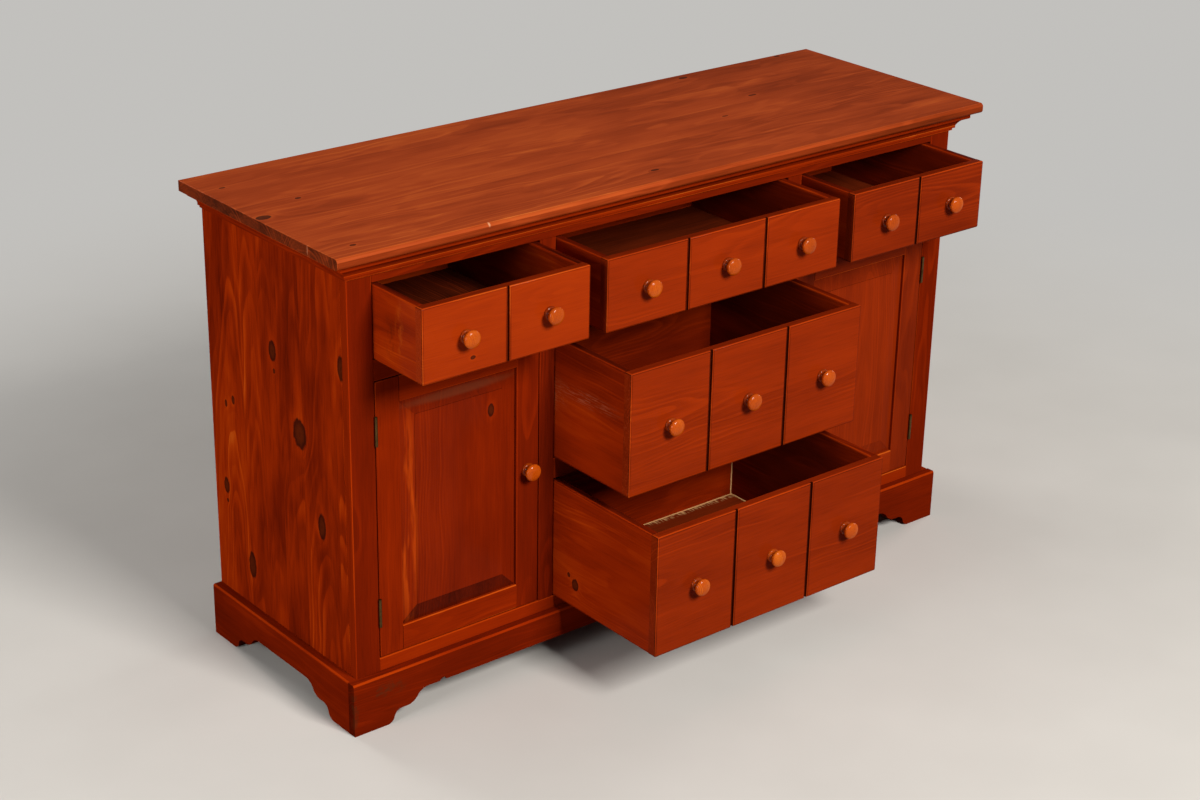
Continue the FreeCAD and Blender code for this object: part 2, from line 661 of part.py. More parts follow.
def knob(name, x, y, z):
    """A turned mushroom knob: tenon, collar, waisted neck and domed head, pointing forwards."""
    body = doc.addObject("PartDesign::Body", f"{name}_body")
    rim, rise = D.knob_radius, D.knob_projection - D.knob_rim_height
    dome = (rim * rim + rise * rise) / (2 * rise)
    profile = sketch(body, f"{name}_profile", "XY_Plane", (
        (0, -D.knob_tenon_length), (D.knob_tenon_radius, -D.knob_tenon_length),
        (D.knob_tenon_radius, 0), (D.knob_collar_radius, 0),
        (D.knob_collar_radius, D.knob_collar_edge, D.knob_collar_round),
        (D.knob_neck_radius, D.knob_neck_foot, -D.knob_neck_bend),
        (D.knob_head_radius, D.knob_head_foot),
        (rim - D.knob_shoulder_inset, D.knob_rim_height - D.knob_shoulder_drop,
         D.knob_shoulder_round),
        (rim, D.knob_rim_height, dome), (0, D.knob_projection)))
    turning = body.newObject("PartDesign::Revolution", f"{name}_turning")
    turning.Profile = profile
    turning.ReferenceAxis = (profile, ["V_Axis"])
    turning.Angle = 360
    turned_about_z(body, 180)
    place(body, x, y, z)
    return body


def knob_hole(name, x, y, z):
    return bored(name, D.knob_tenon_radius + D.hinge_running_gap,
                 D.knob_tenon_length + D.fit_gap, x, y, z)


def drawer_front(name, x, z, face, knobs_x):
    """A front board with false-front grooves and housings for its knobs, sides and bottom."""
    thick, sunk = D.stock, D.drawer_groove_depth
    middle = (z[0] + z[1]) / 2
    back = face + thick
    tools = []
    for number, (one, other) in enumerate(zip(knobs_x, knobs_x[1:])):
        center = (one + other) / 2
        tools.append(box(f"{name}_false_gap_{number}",
                         (center - D.false_gap_width / 2, center + D.false_gap_width / 2),
                         (face, face + D.false_gap_depth), z))
    for number, place_x in enumerate(knobs_x):
        tools.append(knob_hole(f"{name}_knob_hole_{number}", place_x, face, middle))
    tongues = (z[0], z[1] - D.tongue_stop)
    inner = (x[0] + D.drawer_side_thickness, x[1] - D.drawer_side_thickness)
    bottom = (z[0] + D.drawer_bottom_lift, z[0] + D.drawer_bottom_lift + D.drawer_bottom_thickness)
    recess = (back - sunk, back)
    tools.append(fuse(f"{name}_recess", (
        box(f"{name}_left_housing", (inner[0] - D.drawer_tongue, inner[0]), recess, tongues),
        box(f"{name}_right_housing", (inner[1], inner[1] + D.drawer_tongue), recess, tongues),
        box(f"{name}_bottom_groove", inner, recess, bottom))))
    board = box(f"{name}_board", x, (face, back), z)
    piece(name, cut(name, board, tools))


def drawer_box(name, x, z, face):
    """Two sides, housed into the front, and the back that is housed into them."""
    sunk, start = D.drawer_groove_depth, face + D.stock
    end = face + D.drawer_length
    lift = z[0] + D.drawer_bottom_lift
    back_y = (end - D.drawer_back_inset - D.drawer_back_thickness, end - D.drawer_back_inset)
    back_z = (lift + D.drawer_bottom_thickness, z[1] - D.drawer_back_drop)
    boards = []
    for side, outer in ((-1, x[0]), (1, x[1])):
        near = D.drawer_side_thickness * -side
        label = f"{name}_{named(side)}"
        inner = outer + near
        board = box(f"{label}_board", ordered(outer, inner), (start, end), z)
        tongue = box(f"{label}_tongue", ordered(inner, inner + D.drawer_tongue * side),
                     (start - sunk + D.fit_gap, start), (z[0], z[1] - D.tongue_stop - D.fit_gap))
        groove_x = ordered(inner, inner + sunk * side)
        groove = box(f"{label}_groove", groove_x, (start - sunk, end),
                     (lift, lift + D.drawer_bottom_thickness))
        housing = box(f"{label}_housing", groove_x, back_y, (lift, back_z[1]))
        whole = fuse(f"{label}_whole", (board, tongue))
        boards.append(cut(f"{label}_side", whole, (fuse(f"{label}_waste", (groove, housing)),)))
    reach = D.drawer_side_thickness - sunk + D.fit_gap
    boards.append(box(f"{name}_back", (x[0] + reach, x[1] - reach), back_y, back_z))
    piece(name, *boards)


def ordered(one, other):
    """Two sizes as a low and high pair."""
    return (one, other) if one.number < other.number else (other, one)


def make_drawer(name, x, sill, opening, drawn_out, knob_count):
    """A drawer standing open by drawn_out, in an opening between two x places over a sill."""
    face = -drawn_out
    z = (sill + D.drawer_low_gap, sill + opening - D.drawer_top_gap)
    x = (x[0] + D.drawer_side_gap, x[1] - D.drawer_side_gap)
    pitch = (x[1] - x[0]) / knob_count
    knobs_x = [x[0] + pitch * (number + 0.5) for number in range(knob_count)]
    drawer_front(f"{name}_front", x, z, face, knobs_x)
    drawer_box(f"{name}_box", x, z, face)
    sunk = D.drawer_side_thickness - D.drawer_groove_depth + D.fit_gap
    lift = z[0] + D.drawer_bottom_lift
    piece(f"{name}_bottom", box(
        f"{name}_bottom", (x[0] + sunk, x[1] - sunk),
        (face + D.stock - D.drawer_groove_depth + D.fit_gap, face + D.drawer_length - D.drawer_back_inset),
        (lift, lift + D.drawer_bottom_thickness)))
    middle = (z[0] + z[1]) / 2
    piece(f"{name}_knobs", *(knob(f"{name}_knob_{number}", place_x, face, middle)
                             for number, place_x in enumerate(knobs_x)))


def make_drawers():
    side_bays = ((-1, D.left_drawer_open), (1, D.right_drawer_open))
    for side, drawn_out in side_bays:
        make_drawer(f"{named(side)}_drawer", across(side, INNER_EDGE, OUTER_EDGE), TOP_SILL,
                    D.top_opening_height, drawn_out, 2)
    center = (-CENTER_EDGE, CENTER_EDGE)
    make_drawer("top_drawer", center, TOP_SILL, D.top_opening_height, D.top_drawer_open, 3)
    make_drawer("middle_drawer", center, MIDDLE_SILL, D.middle_opening_height,
                D.middle_drawer_open, 3)
    make_drawer("bottom_drawer", center, FLOOR_TOP, D.bottom_opening_height,
                D.bottom_drawer_open, 3)


def groove_depths():
    """Front and back of the grooves in the door frames."""
    front = (D.stock - D.groove_width) / 2
    return (front, front + D.groove_width)


def raised_panel(name, x, z):
    """A panel with a tongue all round, a bevel rising from it, and a flat field behind a quirk."""
    reach = D.groove_depth - D.panel_play
    outer = (x[1] - x[0] + 2 * reach, z[1] - z[0] + 2 * reach)
    field = (x[1] - x[0] - 2 * D.panel_bevel, z[1] - z[0] - 2 * D.panel_bevel)
    body = doc.addObject("PartDesign::Body", f"{name}_body")
    pad(body, f"{name}_tongue", sketch(body, f"{name}_edge", "XZ_Plane", rectangle(*outer)),
        D.panel_tongue)
    crest = D.panel_tongue + D.panel_bevel_rise
    bevel = body.newObject("PartDesign::AdditiveLoft", f"{name}_bevel")
    bevel.Profile = sketch(body, f"{name}_low", "XZ_Plane", rectangle(*outer), D.panel_tongue)
    bevel.Sections = [sketch(body, f"{name}_high", "XZ_Plane", rectangle(*field), crest)]
    bevel.Ruled = True
    pad(body, f"{name}_field", sketch(body, f"{name}_raised", "XZ_Plane", rectangle(*field), crest),
        D.panel_field_step)
    place(body, (x[0] + x[1]) / 2, groove_depths()[1], (z[0] + z[1]) / 2)
    return body


def make_door(side):
    """Grooved stiles and rails round a raised panel, hung on the outer stile."""
    name = f"{named(side)}_door"
    z, wide = DOOR_HEIGHTS, D.door_stile_width
    near, far = DOOR_EDGES
    depth, sunk = groove_depths(), D.groove_depth
    hinge_edge = far - wide
    lock_edge = near + wide
    mortises = [box(f"{name}_hinge_mortise_{number}", across(side, far - D.hinge_mortise, far),
                    (0, D.hinge_leaf_width + D.fit_gap), hinge_span(height))
                for number, height in enumerate(hinge_heights())]
    hinge_stile = box(f"{name}_hinge_board", across(side, hinge_edge, far), (0, D.stock), z)
    groove = box(f"{name}_hinge_groove", across(side, hinge_edge, hinge_edge + sunk), depth, z)
    piece(f"{name}_hinge_stile", cut(f"{name}_hinge_stile", hinge_stile, (groove, *mortises)))
    lock_stile = box(f"{name}_lock_board", across(side, near, lock_edge), (0, D.stock), z)
    groove = box(f"{name}_lock_groove", across(side, lock_edge - sunk, lock_edge), depth, z)
    knob_x = across(side, near + wide / 2, near + wide / 2)[0]
    hole = knob_hole(f"{name}_knob_hole", knob_x, as_size(0), D.door_knob_height)
    piece(f"{name}_lock_stile", cut(f"{name}_lock_stile", lock_stile, (groove, hole)))
    span, tongues = across(side, lock_edge, hinge_edge), sunk - D.fit_gap
    inner = (z[0] + D.door_rail_height, z[1] - D.door_rail_height)
    rails = []
    for label, rail_z, groove_z in (("low", (z[0], inner[0]), (inner[0] - sunk, inner[0])),
                                    ("high", (inner[1], z[1]), (inner[1], inner[1] + sunk))):
        board = box(f"{name}_{label}_board", span, (0, D.stock), rail_z)
        tongue = box(f"{name}_{label}_tongue", (span[0] - tongues, span[1] + tongues), depth, rail_z)
        whole = fuse(f"{name}_{label}_whole", (board, tongue))
        groove = box(f"{name}_{label}_groove", (span[0] - sunk, span[1] + sunk), depth, groove_z)
        rails.append(cut(f"{name}_{label}_rail", whole, (groove,)))
    piece(f"{name}_rails", *rails)
    piece(f"{name}_panel", raised_panel(f"{name}_panel", span, inner))
    piece(f"{name}_knob", knob(f"{name}_knob", knob_x, as_size(0), D.door_knob_height))
    piece(f"{name}_hinge_leaves", *(hinge_leaf(f"{name}_leaf_{number}", side, height, False)
                                    for number, height in enumerate(hinge_heights())))
    strike_low = z[1] - D.strike_height - D.door_low_gap
    piece(f"{name}_strike", box(
        f"{name}_strike", across(side, CATCH_NEAR, CATCH_NEAR + D.catch_width),
        (D.stock, D.stock + D.strike_thickness), (strike_low, strike_low + D.strike_height)))


def hinge_heights():
    """Centre of each hinge on a door, low and high."""
    return (DOOR_HEIGHTS[0] + D.hinge_offset, DOOR_HEIGHTS[1] - D.hinge_offset)


def hinge_span(height):
    return (height - D.hinge_length / 2, height + D.hinge_length / 2)


def hinge_leaf(name, side, height, on_frame):
    """One leaf of a butt hinge: a plate and its share of five knuckles round the pin."""
    low = hinge_span(height)[0]
    pitch = D.hinge_length / 5
    outward = D.door_gap / 2 + D.hinge_mortise
    if on_frame:
        plate_x = across(side, HINGE_AXIS + outward - D.hinge_leaf, HINGE_AXIS + outward)
    else:
        plate_x = across(side, HINGE_AXIS - outward, HINGE_AXIS - outward + D.hinge_leaf)
    solids = [box(f"{name}_plate", plate_x, (D.hinge_running_gap, D.hinge_leaf_width),
                  hinge_span(height))]
    axis_x = across(side, HINGE_AXIS, HINGE_AXIS)[0]
    for number in range(0 if on_frame else 1, 5, 2):
        start = low + pitch * number + D.hinge_knuckle_gap / 2
        length = pitch - D.hinge_knuckle_gap
        solids.append(cylinder(f"{name}_knuckle_{number}", D.hinge_barrel_radius, length,
                               axis_x, -D.hinge_pin_forward, start))
        solids.append(box(f"{name}_neck_{number}", plate_x, (-D.hinge_pin_forward, D.stock / 4),
                          (start, start + length)))
    bore = cylinder(f"{name}_bore", D.hinge_pin_radius + D.hinge_running_gap, D.hinge_length,
                    axis_x, -D.hinge_pin_forward, low)
    return cut(name, fuse(f"{name}_whole", solids), (bore,))


def hinge_pin(name, side, height):
    """A pin with a low button on each end."""
    low, high = hinge_span(height)
    axis_x = across(side, HINGE_AXIS, HINGE_AXIS)[0]
    axis_y, button, thick = -D.hinge_pin_forward, D.hinge_button_radius, D.hinge_button_height
    return fuse(name, (
        cylinder(f"{name}_shank", D.hinge_pin_radius, D.hinge_length, axis_x, axis_y, low),
        cylinder(f"{name}_foot", button, thick, axis_x, axis_y, low - thick),
        cylinder(f"{name}_head", button, thick, axis_x, axis_y, high)))


def catch(name, side):
    """A catch behind the rail over the door, which the door's strike plate meets."""
    reach = across(side, CATCH_NEAR, CATCH_NEAR + D.catch_width)
    low = BAY_RAIL - D.catch_drop
    front = D.stock + D.strike_thickness + D.drawer_low_gap
    return fuse(name, (
        box(f"{name}_block", reach, (front, front + D.catch_depth), (low, low + D.catch_height)),
        box(f"{name}_foot", reach, (D.stock, front), (BAY_RAIL, low + D.catch_height))))


def make_hardware():
    """Frame leaves and pins of the four hinges, and the two catches."""
    spots = [(side, number, height) for side in SIDES
             for number, height in enumerate(hinge_heights())]
    piece("hinge_frame_leaves", *(hinge_leaf(f"{named(side)}_frame_leaf_{number}", side, height, True)
                                  for side, number, height in spots))
    piece("hinge_pins", *(hinge_pin(f"{named(side)}_pin_{number}", side, height)
                          for side, number, height in spots))
    piece("door_catches", *(catch(f"{named(side)}_catch", side) for side in SIDES))


def check_and_write():
    """Stops on any failed object or bad solid, then writes one file for each sub-part."""
    doc.recompute()
    failed = [thing.Label for thing in doc.Objects
              if "Invalid" in thing.State or "Error" in thing.State]
    failed += [part.Label for part in pieces if part.Shape.isNull() or not part.Shape.isValid()]
    if failed:
        raise RuntimeError(f"failed objects: {sorted(set(failed))}")
    os.makedirs("parts", exist_ok=True)
    for part in pieces:
        part.Shape.exportStep(os.path.join("parts", f"{part.Label}.step"))
    solids = sum(len(part.Shape.Solids) for part in pieces)
    volume = sum(part.Shape.Volume for part in pieces) / 1e9
    print(f"{len(pieces)} sub-parts, {solids} solids, {volume:.4f} cubic metres")


make_top()
make_mouldings()
for end in SIDES:
    make_side_panel(end)
make_case()
make_face_frame()
make_plinth()
make_drawer_supports()
make_drawers()
for end in SIDES:
    make_door(end)
make_hardware()
check_and_write()
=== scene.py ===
import json
import math
import random

import bmesh
import bpy
from mathutils import Matrix, Vector


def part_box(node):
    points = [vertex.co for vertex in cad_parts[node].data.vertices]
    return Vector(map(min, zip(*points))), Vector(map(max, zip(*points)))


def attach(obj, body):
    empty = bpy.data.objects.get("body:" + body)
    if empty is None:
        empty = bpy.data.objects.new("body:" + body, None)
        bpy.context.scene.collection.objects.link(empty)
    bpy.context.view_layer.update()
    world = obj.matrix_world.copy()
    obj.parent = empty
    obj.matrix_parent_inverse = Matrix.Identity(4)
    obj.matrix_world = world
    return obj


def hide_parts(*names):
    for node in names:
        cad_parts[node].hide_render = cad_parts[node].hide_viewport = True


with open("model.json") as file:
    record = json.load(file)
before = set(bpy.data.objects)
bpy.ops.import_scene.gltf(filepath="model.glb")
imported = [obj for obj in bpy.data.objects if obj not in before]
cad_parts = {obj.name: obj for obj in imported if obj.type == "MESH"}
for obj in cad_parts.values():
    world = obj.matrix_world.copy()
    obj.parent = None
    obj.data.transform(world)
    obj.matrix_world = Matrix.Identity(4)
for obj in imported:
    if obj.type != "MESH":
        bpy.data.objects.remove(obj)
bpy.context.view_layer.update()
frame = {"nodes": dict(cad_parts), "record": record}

BODY_OF = {node: body for body, nodes in frame["record"]["behaviour"]["bodies"].items()
           for node in nodes}
FACE_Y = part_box("bottom_rail")[0][1]  # the front plane of the face frame

# Colours, linear; a ramp is a tuple of (place, colour)

BLACK = (0.0, 0.0, 0.0, 1.0)
BACKDROP = (0.54, 0.53, 0.51, 1.0)
ROOM_LIGHT = (0.060, 0.058, 0.056, 1.0)
PLANK_FLOOR = (0.26, 0.19, 0.14, 1.0)
RUBBED_DUST = (0.26, 0.12, 0.07, 1.0)
UNSTAINED = (1.00, 0.64, 0.27)
PINE = ((0.08, (0.040, 0.0035, 0.0010)), (0.32, (0.170, 0.0110, 0.0010)),
        (0.50, (0.300, 0.0220, 0.0010)), (0.68, (0.430, 0.0440, 0.0020)),
        (0.92, (0.620, 0.1300, 0.0120)))
PLY = ((0.10, (0.050, 0.0070, 0.0020)), (0.50, (0.260, 0.0300, 0.0050)),
       (0.90, (0.480, 0.1000, 0.0200)))
# The top's stain has more green and blue than the others: a painted sheen of reflected light mixed into its
# colour.
TOP_WITH_SHEEN = ((0.00, (0.040, 0.0065, 0.0012)), (0.32, (0.260, 0.0340, 0.0060)),
       (0.50, (0.390, 0.0570, 0.0110)), (0.68, (0.500, 0.0900, 0.0160)),
       (0.92, (0.780, 0.2200, 0.0450)))
FRONT = ((0.08, (0.040, 0.0045, 0.0010)), (0.32, (0.170, 0.0135, 0.0015)),
         (0.50, (0.300, 0.0262, 0.0020)), (0.68, (0.430, 0.0445, 0.0022)),
         (0.92, (0.620, 0.1300, 0.0120)))
KNOB = ((0.15, (0.200, 0.0210, 0.0012)), (0.50, (0.450, 0.0660, 0.0024)),
        (0.85, (0.640, 0.1450, 0.0080)))
KNOT = ((0.00, (0.030, 0.0070, 0.0028)), (0.30, (0.060, 0.0110, 0.0032)),
        (0.66, (0.042, 0.0085, 0.0028)), (0.90, (0.012, 0.0040, 0.0028)))
BARE = ((0.15, (0.300, 0.1500, 0.0550)), (0.50, (0.520, 0.3200, 0.1500)),
        (0.85, (0.680, 0.4800, 0.2600)))


# Shader graphs

class Graph:
    """A node tree with short calls: each method adds a node and returns its first output."""

    def __init__(self, tree):
        self.tree = tree

    def node(self, kind, settings=(), **inputs):
        made = self.tree.nodes.new(kind)
        for name, value in dict(settings).items():
            setattr(made, name, value)
        for name, value in inputs.items():
            socket = made.inputs[name.replace("_", " ")]
            if isinstance(value, bpy.types.NodeSocket):
                self.tree.links.new(value, socket)
            else:
                socket.default_value = value
        return made

    def math(self, operation, *values):
        made = self.tree.nodes.new("ShaderNodeMath")
        made.operation = operation
        self.fill(made, values)
        return made.outputs[0]

    def vector(self, operation, *values):
        made = self.tree.nodes.new("ShaderNodeVectorMath")
        made.operation = operation
        self.fill(made, values)
        return made.outputs["Value" if operation in ("LENGTH", "DOT_PRODUCT") else "Vector"]

    def fill(self, made, values):
        for socket, value in zip(made.inputs, values):
            if isinstance(value, bpy.types.NodeSocket):
                self.tree.links.new(value, socket)
            else:
                socket.default_value = value

    def attribute(self, name):
        return self.node("ShaderNodeAttribute", {"attribute_name": name})

    def noise(self, vector, detail=2.0, roughness=0.5, distortion=0.0):
        return self.node("ShaderNodeTexNoise", Vector=vector, Scale=1.0, Detail=detail,
                         Roughness=roughness, Distortion=distortion).outputs[0]

    def smooth(self, value, low, high, out_low=0.0, out_high=1.0):
        made = self.tree.nodes.new("ShaderNodeMapRange")
        made.interpolation_type = "SMOOTHSTEP"
        self.fill(made, (value, low, high, out_low, out_high))
        return made.outputs[0]

    def blend(self, factor, one, other):
        made = self.tree.nodes.new("ShaderNodeMix")
        made.data_type = "RGBA"
        for name, value in (("Factor_Float", factor), ("A_Color", one), ("B_Color", other)):
            socket = [item for item in made.inputs if item.identifier == name][0]
            if isinstance(value, bpy.types.NodeSocket):
                self.tree.links.new(value, socket)
            else:
                socket.default_value = value
        return [item for item in made.outputs if item.identifier == "Result_Color"][0]

    def ramp(self, value, stops):
        made = self.tree.nodes.new("ShaderNodeValToRGB")
        self.tree.links.new(value, made.inputs[0])
        elements = made.color_ramp.elements
        while len(elements) < len(stops):
            elements.new(1.0)
        for element, (place, colour) in zip(elements, stops):
            element.position = place
            element.color = (*colour, 1.0)
        return made.outputs[0]


# Materials

def new_material(name):
    material = bpy.data.materials.new(name)
    material.use_nodes = True
    material.node_tree.nodes.clear()
    graph = Graph(material.node_tree)
    shader = graph.node("ShaderNodeBsdfPrincipled")
    output = graph.node("ShaderNodeOutputMaterial")
    graph.tree.links.new(shader.outputs[0], output.inputs[0])
    return material, graph, shader


def link(graph, value, shader, name):
    graph.tree.links.new(value, shader.inputs[name])


def growth_rings(graph, grain, place, knots, ring, sway_by, slope, taper):
    """Late wood from 0 to 1, and how far the nearest knot is in knot sizes.

    The distance from the pith is bent by slow noise and by knots, then cut into rings.
    """
    wave_by, far_away = 0.006, 10.0
    bump_fall, bump_rise = -0.22, 1.5
    sway = graph.noise(graph.vector("MULTIPLY", grain, (2.4, 9.0, 9.0)), detail=2.0)
    wave = graph.noise(graph.vector("MULTIPLY", grain, (7.0, 34.0, 34.0)), detail=1.0)
    parts = graph.node("ShaderNodeSeparateXYZ", Vector=grain)
    across = graph.math("MULTIPLY", parts.outputs[1], parts.outputs[1])
    deep = graph.math("MULTIPLY", parts.outputs[2], parts.outputs[2])
    radius = graph.math("SQRT", graph.math("ADD", across, deep))
    radius = graph.math("MULTIPLY_ADD", sway, sway_by, graph.math("MULTIPLY", radius, slope))
    radius = graph.math("MULTIPLY_ADD", wave, wave_by, radius)
    radius = graph.math("MULTIPLY_ADD", parts.outputs[0], taper, radius)
    nearest = far_away
    for center, size, stretch in knots:
        away = graph.vector("SUBTRACT", place, center)
        away = graph.vector("LENGTH", graph.vector("MULTIPLY", away, stretch))
        away = graph.math("DIVIDE", away, size)
        bump = graph.math("MULTIPLY", graph.math("MULTIPLY", away, away), bump_fall)
        radius = graph.math("MULTIPLY_ADD", graph.math("EXPONENT", bump), size * bump_rise, radius)
        nearest = graph.math("MINIMUM", away, nearest)
    rings = graph.math("DIVIDE", radius, ring)
    step = graph.math("FRACT", rings)
    number = graph.math("FLOOR", rings)
    vivid = graph.node("ShaderNodeTexWhiteNoise", {"noise_dimensions": "1D"}, W=number).outputs[0]
    late = graph.math("MULTIPLY", graph.smooth(step, 0.25, 0.80), graph.smooth(step, 1.0, 0.90))
    return graph.math("MULTIPLY", late, graph.smooth(vivid, 0.1, 1.0, 0.15, 1.0)), nearest


def with_knots(graph, colour, place, nearest, end):
    """The colour with a dark heart of ragged outline where a knot is, but not on end grain."""
    raggedness, strength = 0.45, 0.86
    ragged = graph.noise(graph.vector("MULTIPLY", place, (170.0, 170.0, 110.0)), detail=2.0)
    nearest = graph.math("MULTIPLY_ADD", graph.math("SUBTRACT", ragged, 0.5), raggedness, nearest)
    heart = graph.ramp(nearest, KNOT)
    core = graph.math("MULTIPLY", graph.smooth(nearest, 1.25, 0.98), graph.math("SUBTRACT", 1.0, end))
    return graph.blend(graph.math("MULTIPLY", core, strength), colour, heart)


def with_marks(graph, colour, place, marks):
    """The colour with a soft or broken spot of another colour at each mark."""
    for center, reach, tinge, strength, grit in marks:
        away = graph.vector("DIVIDE", graph.vector("SUBTRACT", place, center), reach)
        inside = graph.smooth(graph.vector("LENGTH", away), 1.0, 0.35)
        cover = graph.math("MULTIPLY", inside, strength)
        if grit:
            broken = graph.noise(graph.vector("MULTIPLY", place, grit), detail=4.0, roughness=0.65)
            cover = graph.math("MULTIPLY", cover, graph.smooth(broken, 0.46, 0.62))
        colour = graph.blend(cover, colour, (*tinge, 1.0))
    return colour


def wood_material(name, stops, knots=(), marks=(), rough=0.34, coat=0.05, coat_rough=0.15, ring=0.0052,
                  figure=1.0, cloud=0.36, flame=0.0, fade=0.0, sway_by=0.050, slope=1.0, taper=0.012):
    """Stained pine. The board's own coordinates come from the mesh, metres along, across, deep.

    knots are (centre, size, stretch). marks are (centre, reach, colour, strength, grit): places
    where the stain is scuffed, dusty or missing, and places where a sheen or shade is painted on.
    grit is the scale of the noise that breaks a mark up, or None for a soft spot. ring is the width
    of a ring; sway_by, slope and taper say how it wanders, how steeply it is cut and how it narrows
    along the board. figure, cloud and flame are the strength of the lines, the blotches and the
    light licks. fade darkens towards +x: a painted falloff of the light.
    """
    material, graph, shader = new_material(name)
    grain = graph.attribute("grain").outputs["Vector"]
    attribute = graph.attribute("board").outputs
    board = graph.node("ShaderNodeSeparateColor", Color=attribute["Color"])
    tint, end, eased, rubbed = board.outputs[0], board.outputs[1], board.outputs[2], attribute["Alpha"]
    place = graph.node("ShaderNodeTexCoord").outputs["Object"]
    late, nearest = growth_rings(graph, grain, place, knots, ring, sway_by, slope, taper)

    # Tone: fibres, lines and streaks along the grain, blotches, and rings that show in patches
    fibre = graph.noise(graph.vector("MULTIPLY", grain, (14.0, 900.0, 900.0)), detail=3.0)
    lines = graph.noise(graph.vector("MULTIPLY", grain, (16.0, 520.0, 520.0)), detail=2.0)
    streak = graph.noise(graph.vector("MULTIPLY", grain, (1.6, 70.0, 70.0)), detail=2.0)
    blotch = graph.noise(graph.vector("MULTIPLY", grain, (4.0, 17.0, 17.0)), detail=3.0)
    patch = graph.noise(graph.vector("MULTIPLY", grain, (2.6, 11.0, 11.0)), detail=1.0)
    shown = graph.smooth(patch, 0.40, 0.62, 0.15, 1.0)
    tone = 0.5
    for pattern, weight in ((fibre, 0.12), (lines, 0.10 * figure), (streak, 0.12 * figure), (blotch, cloud)):
        tone = graph.math("MULTIPLY_ADD", graph.math("SUBTRACT", pattern, 0.5), weight, tone)
    tone = graph.math("MULTIPLY_ADD", graph.smooth(lines, 0.47, 0.36), -0.050 * figure, tone)
    tone = graph.math("MULTIPLY_ADD", graph.math("MULTIPLY", graph.math("SUBTRACT", late, 0.2), shown),
                      0.20 * figure, tone)
    if flame:
        tongue = graph.noise(graph.vector("MULTIPLY", grain, (6.0, 30.0, 30.0)), detail=1.0, distortion=0.4)
        lick = graph.math("MULTIPLY", graph.smooth(tongue, 0.54, 0.60), graph.smooth(tongue, 0.74, 0.60))
        tone = graph.math("MULTIPLY_ADD", lick, flame, tone)
    # Painted falloff of the light: darker towards +x.
    if fade:
        along_x = graph.node("ShaderNodeSeparateXYZ", Vector=place).outputs[0]
        tone = graph.math("ADD", graph.smooth(along_x, -0.6, 0.8, 0.0, -fade), tone)
    tone = graph.math("ADD", tone, graph.math("SUBTRACT", tint, 0.5))
    tone = graph.math("MULTIPLY_ADD", end, -0.30, tone)
    # Eased edges are lighter: the stain rubbed off them, and a painted highlight along the rounding.
    rubbed_and_highlit = graph.math("MULTIPLY", eased, graph.smooth(patch, 0.35, 0.65, 0.16, 0.34))
    tone = graph.math("ADD", tone, rubbed_and_highlit)
    speck = graph.noise(graph.vector("MULTIPLY", place, (260.0, 260.0, 260.0)), detail=3.0, roughness=0.7)
    tone = graph.math("MULTIPLY_ADD", graph.math("MULTIPLY", graph.math("SUBTRACT", speck, 0.55), rubbed),
                      0.6, tone)
    if knots:
        tone = graph.math("MULTIPLY_ADD", graph.smooth(nearest, 2.6, 1.1), 0.06, tone)

    # Colour: the stain's ramp (the top's with a painted sheen in it), then the dusty rubbed faces, knots and
    # marks
    colour = graph.ramp(tone, stops)
    dusty = graph.math("MULTIPLY", graph.smooth(speck, 0.60, 0.70), rubbed)
    colour = graph.blend(graph.math("MULTIPLY", dusty, 0.5), colour, RUBBED_DUST)
    if knots:
        colour = with_knots(graph, colour, place, nearest, end)
    link(graph, with_marks(graph, colour, place, marks), shader, "Base Color")

    # Finish: a thin coat over matt wood, with the fibres and rings slightly raised
    shader.inputs["Coat Weight"].default_value = coat
    shader.inputs["Coat Roughness"].default_value = coat_rough
    shader.inputs["Specular IOR Level"].default_value = 0.0
    gloss = graph.math("MULTIPLY_ADD", graph.math("SUBTRACT", streak, 0.5), 0.16, rough)
    link(graph, graph.math("MULTIPLY_ADD", end, 0.18, gloss), shader, "Roughness")
    relief = graph.math("MULTIPLY_ADD", late, 0.5, graph.math("MULTIPLY", fibre, 0.7))
    bumped = graph.node("ShaderNodeBump", Height=relief, Strength=0.25, Distance=0.0004)
    link(graph, bumped.outputs[0], shader, "Normal")
    return material


def brass_material():
    material, graph, shader = new_material("tarnished_brass")
    place = graph.node("ShaderNodeTexCoord").outputs["Object"]
    patina = graph.noise(graph.vector("MULTIPLY", place, (160.0, 160.0, 60.0)), detail=4.0)
    colour = graph.ramp(patina, ((0.3, (0.050, 0.026, 0.008)), (0.7, (0.130, 0.076, 0.026))))
    link(graph, colour, shader, "Base Color")
    shader.inputs["Metallic"].default_value = 1.0
    link(graph, graph.smooth(patina, 0.3, 0.7, 0.5, 0.3), shader, "Roughness")
    return material


def plain_material(name, dark, light, metallic, rough, scale):
    """Fine mottling for small hardware."""
    material, graph, shader = new_material(name)
    place = graph.node("ShaderNodeTexCoord").outputs["Object"]
    marks = graph.noise(graph.vector("MULTIPLY", place, (scale, scale, scale)), detail=3.0)
    link(graph, graph.ramp(marks, ((0.3, dark), (0.7, light))), shader, "Base Color")
    shader.inputs["Metallic"].default_value = metallic
    link(graph, graph.smooth(marks, 0.3, 0.7, rough, rough * 0.8), shader, "Roughness")
    return material


# Boards

# Lengths in metres and an angle in radians
JOIN_GAP = 1e-6
SAME_PLANE = 2e-5
NEAR = 1e-4
SHORTEST_EASED = 0.012
SHORTEST_BRIGHT = 0.1
CORNER_ANGLE = 0.8

# How far a face's normal points along an axis, from 0 to 1: above FACING the face looks that way,
# above END_GRAIN along the board it is end grain, from SLANTING to FACING it slants. A face whose
# normal reaches TURNED on no axis is turned from all three; one below LEVEL is so by a little.
FACING = 0.9
SLANTING = 0.05
TURNED = 0.995
END_GRAIN = 0.75
LEVEL = 0.99999


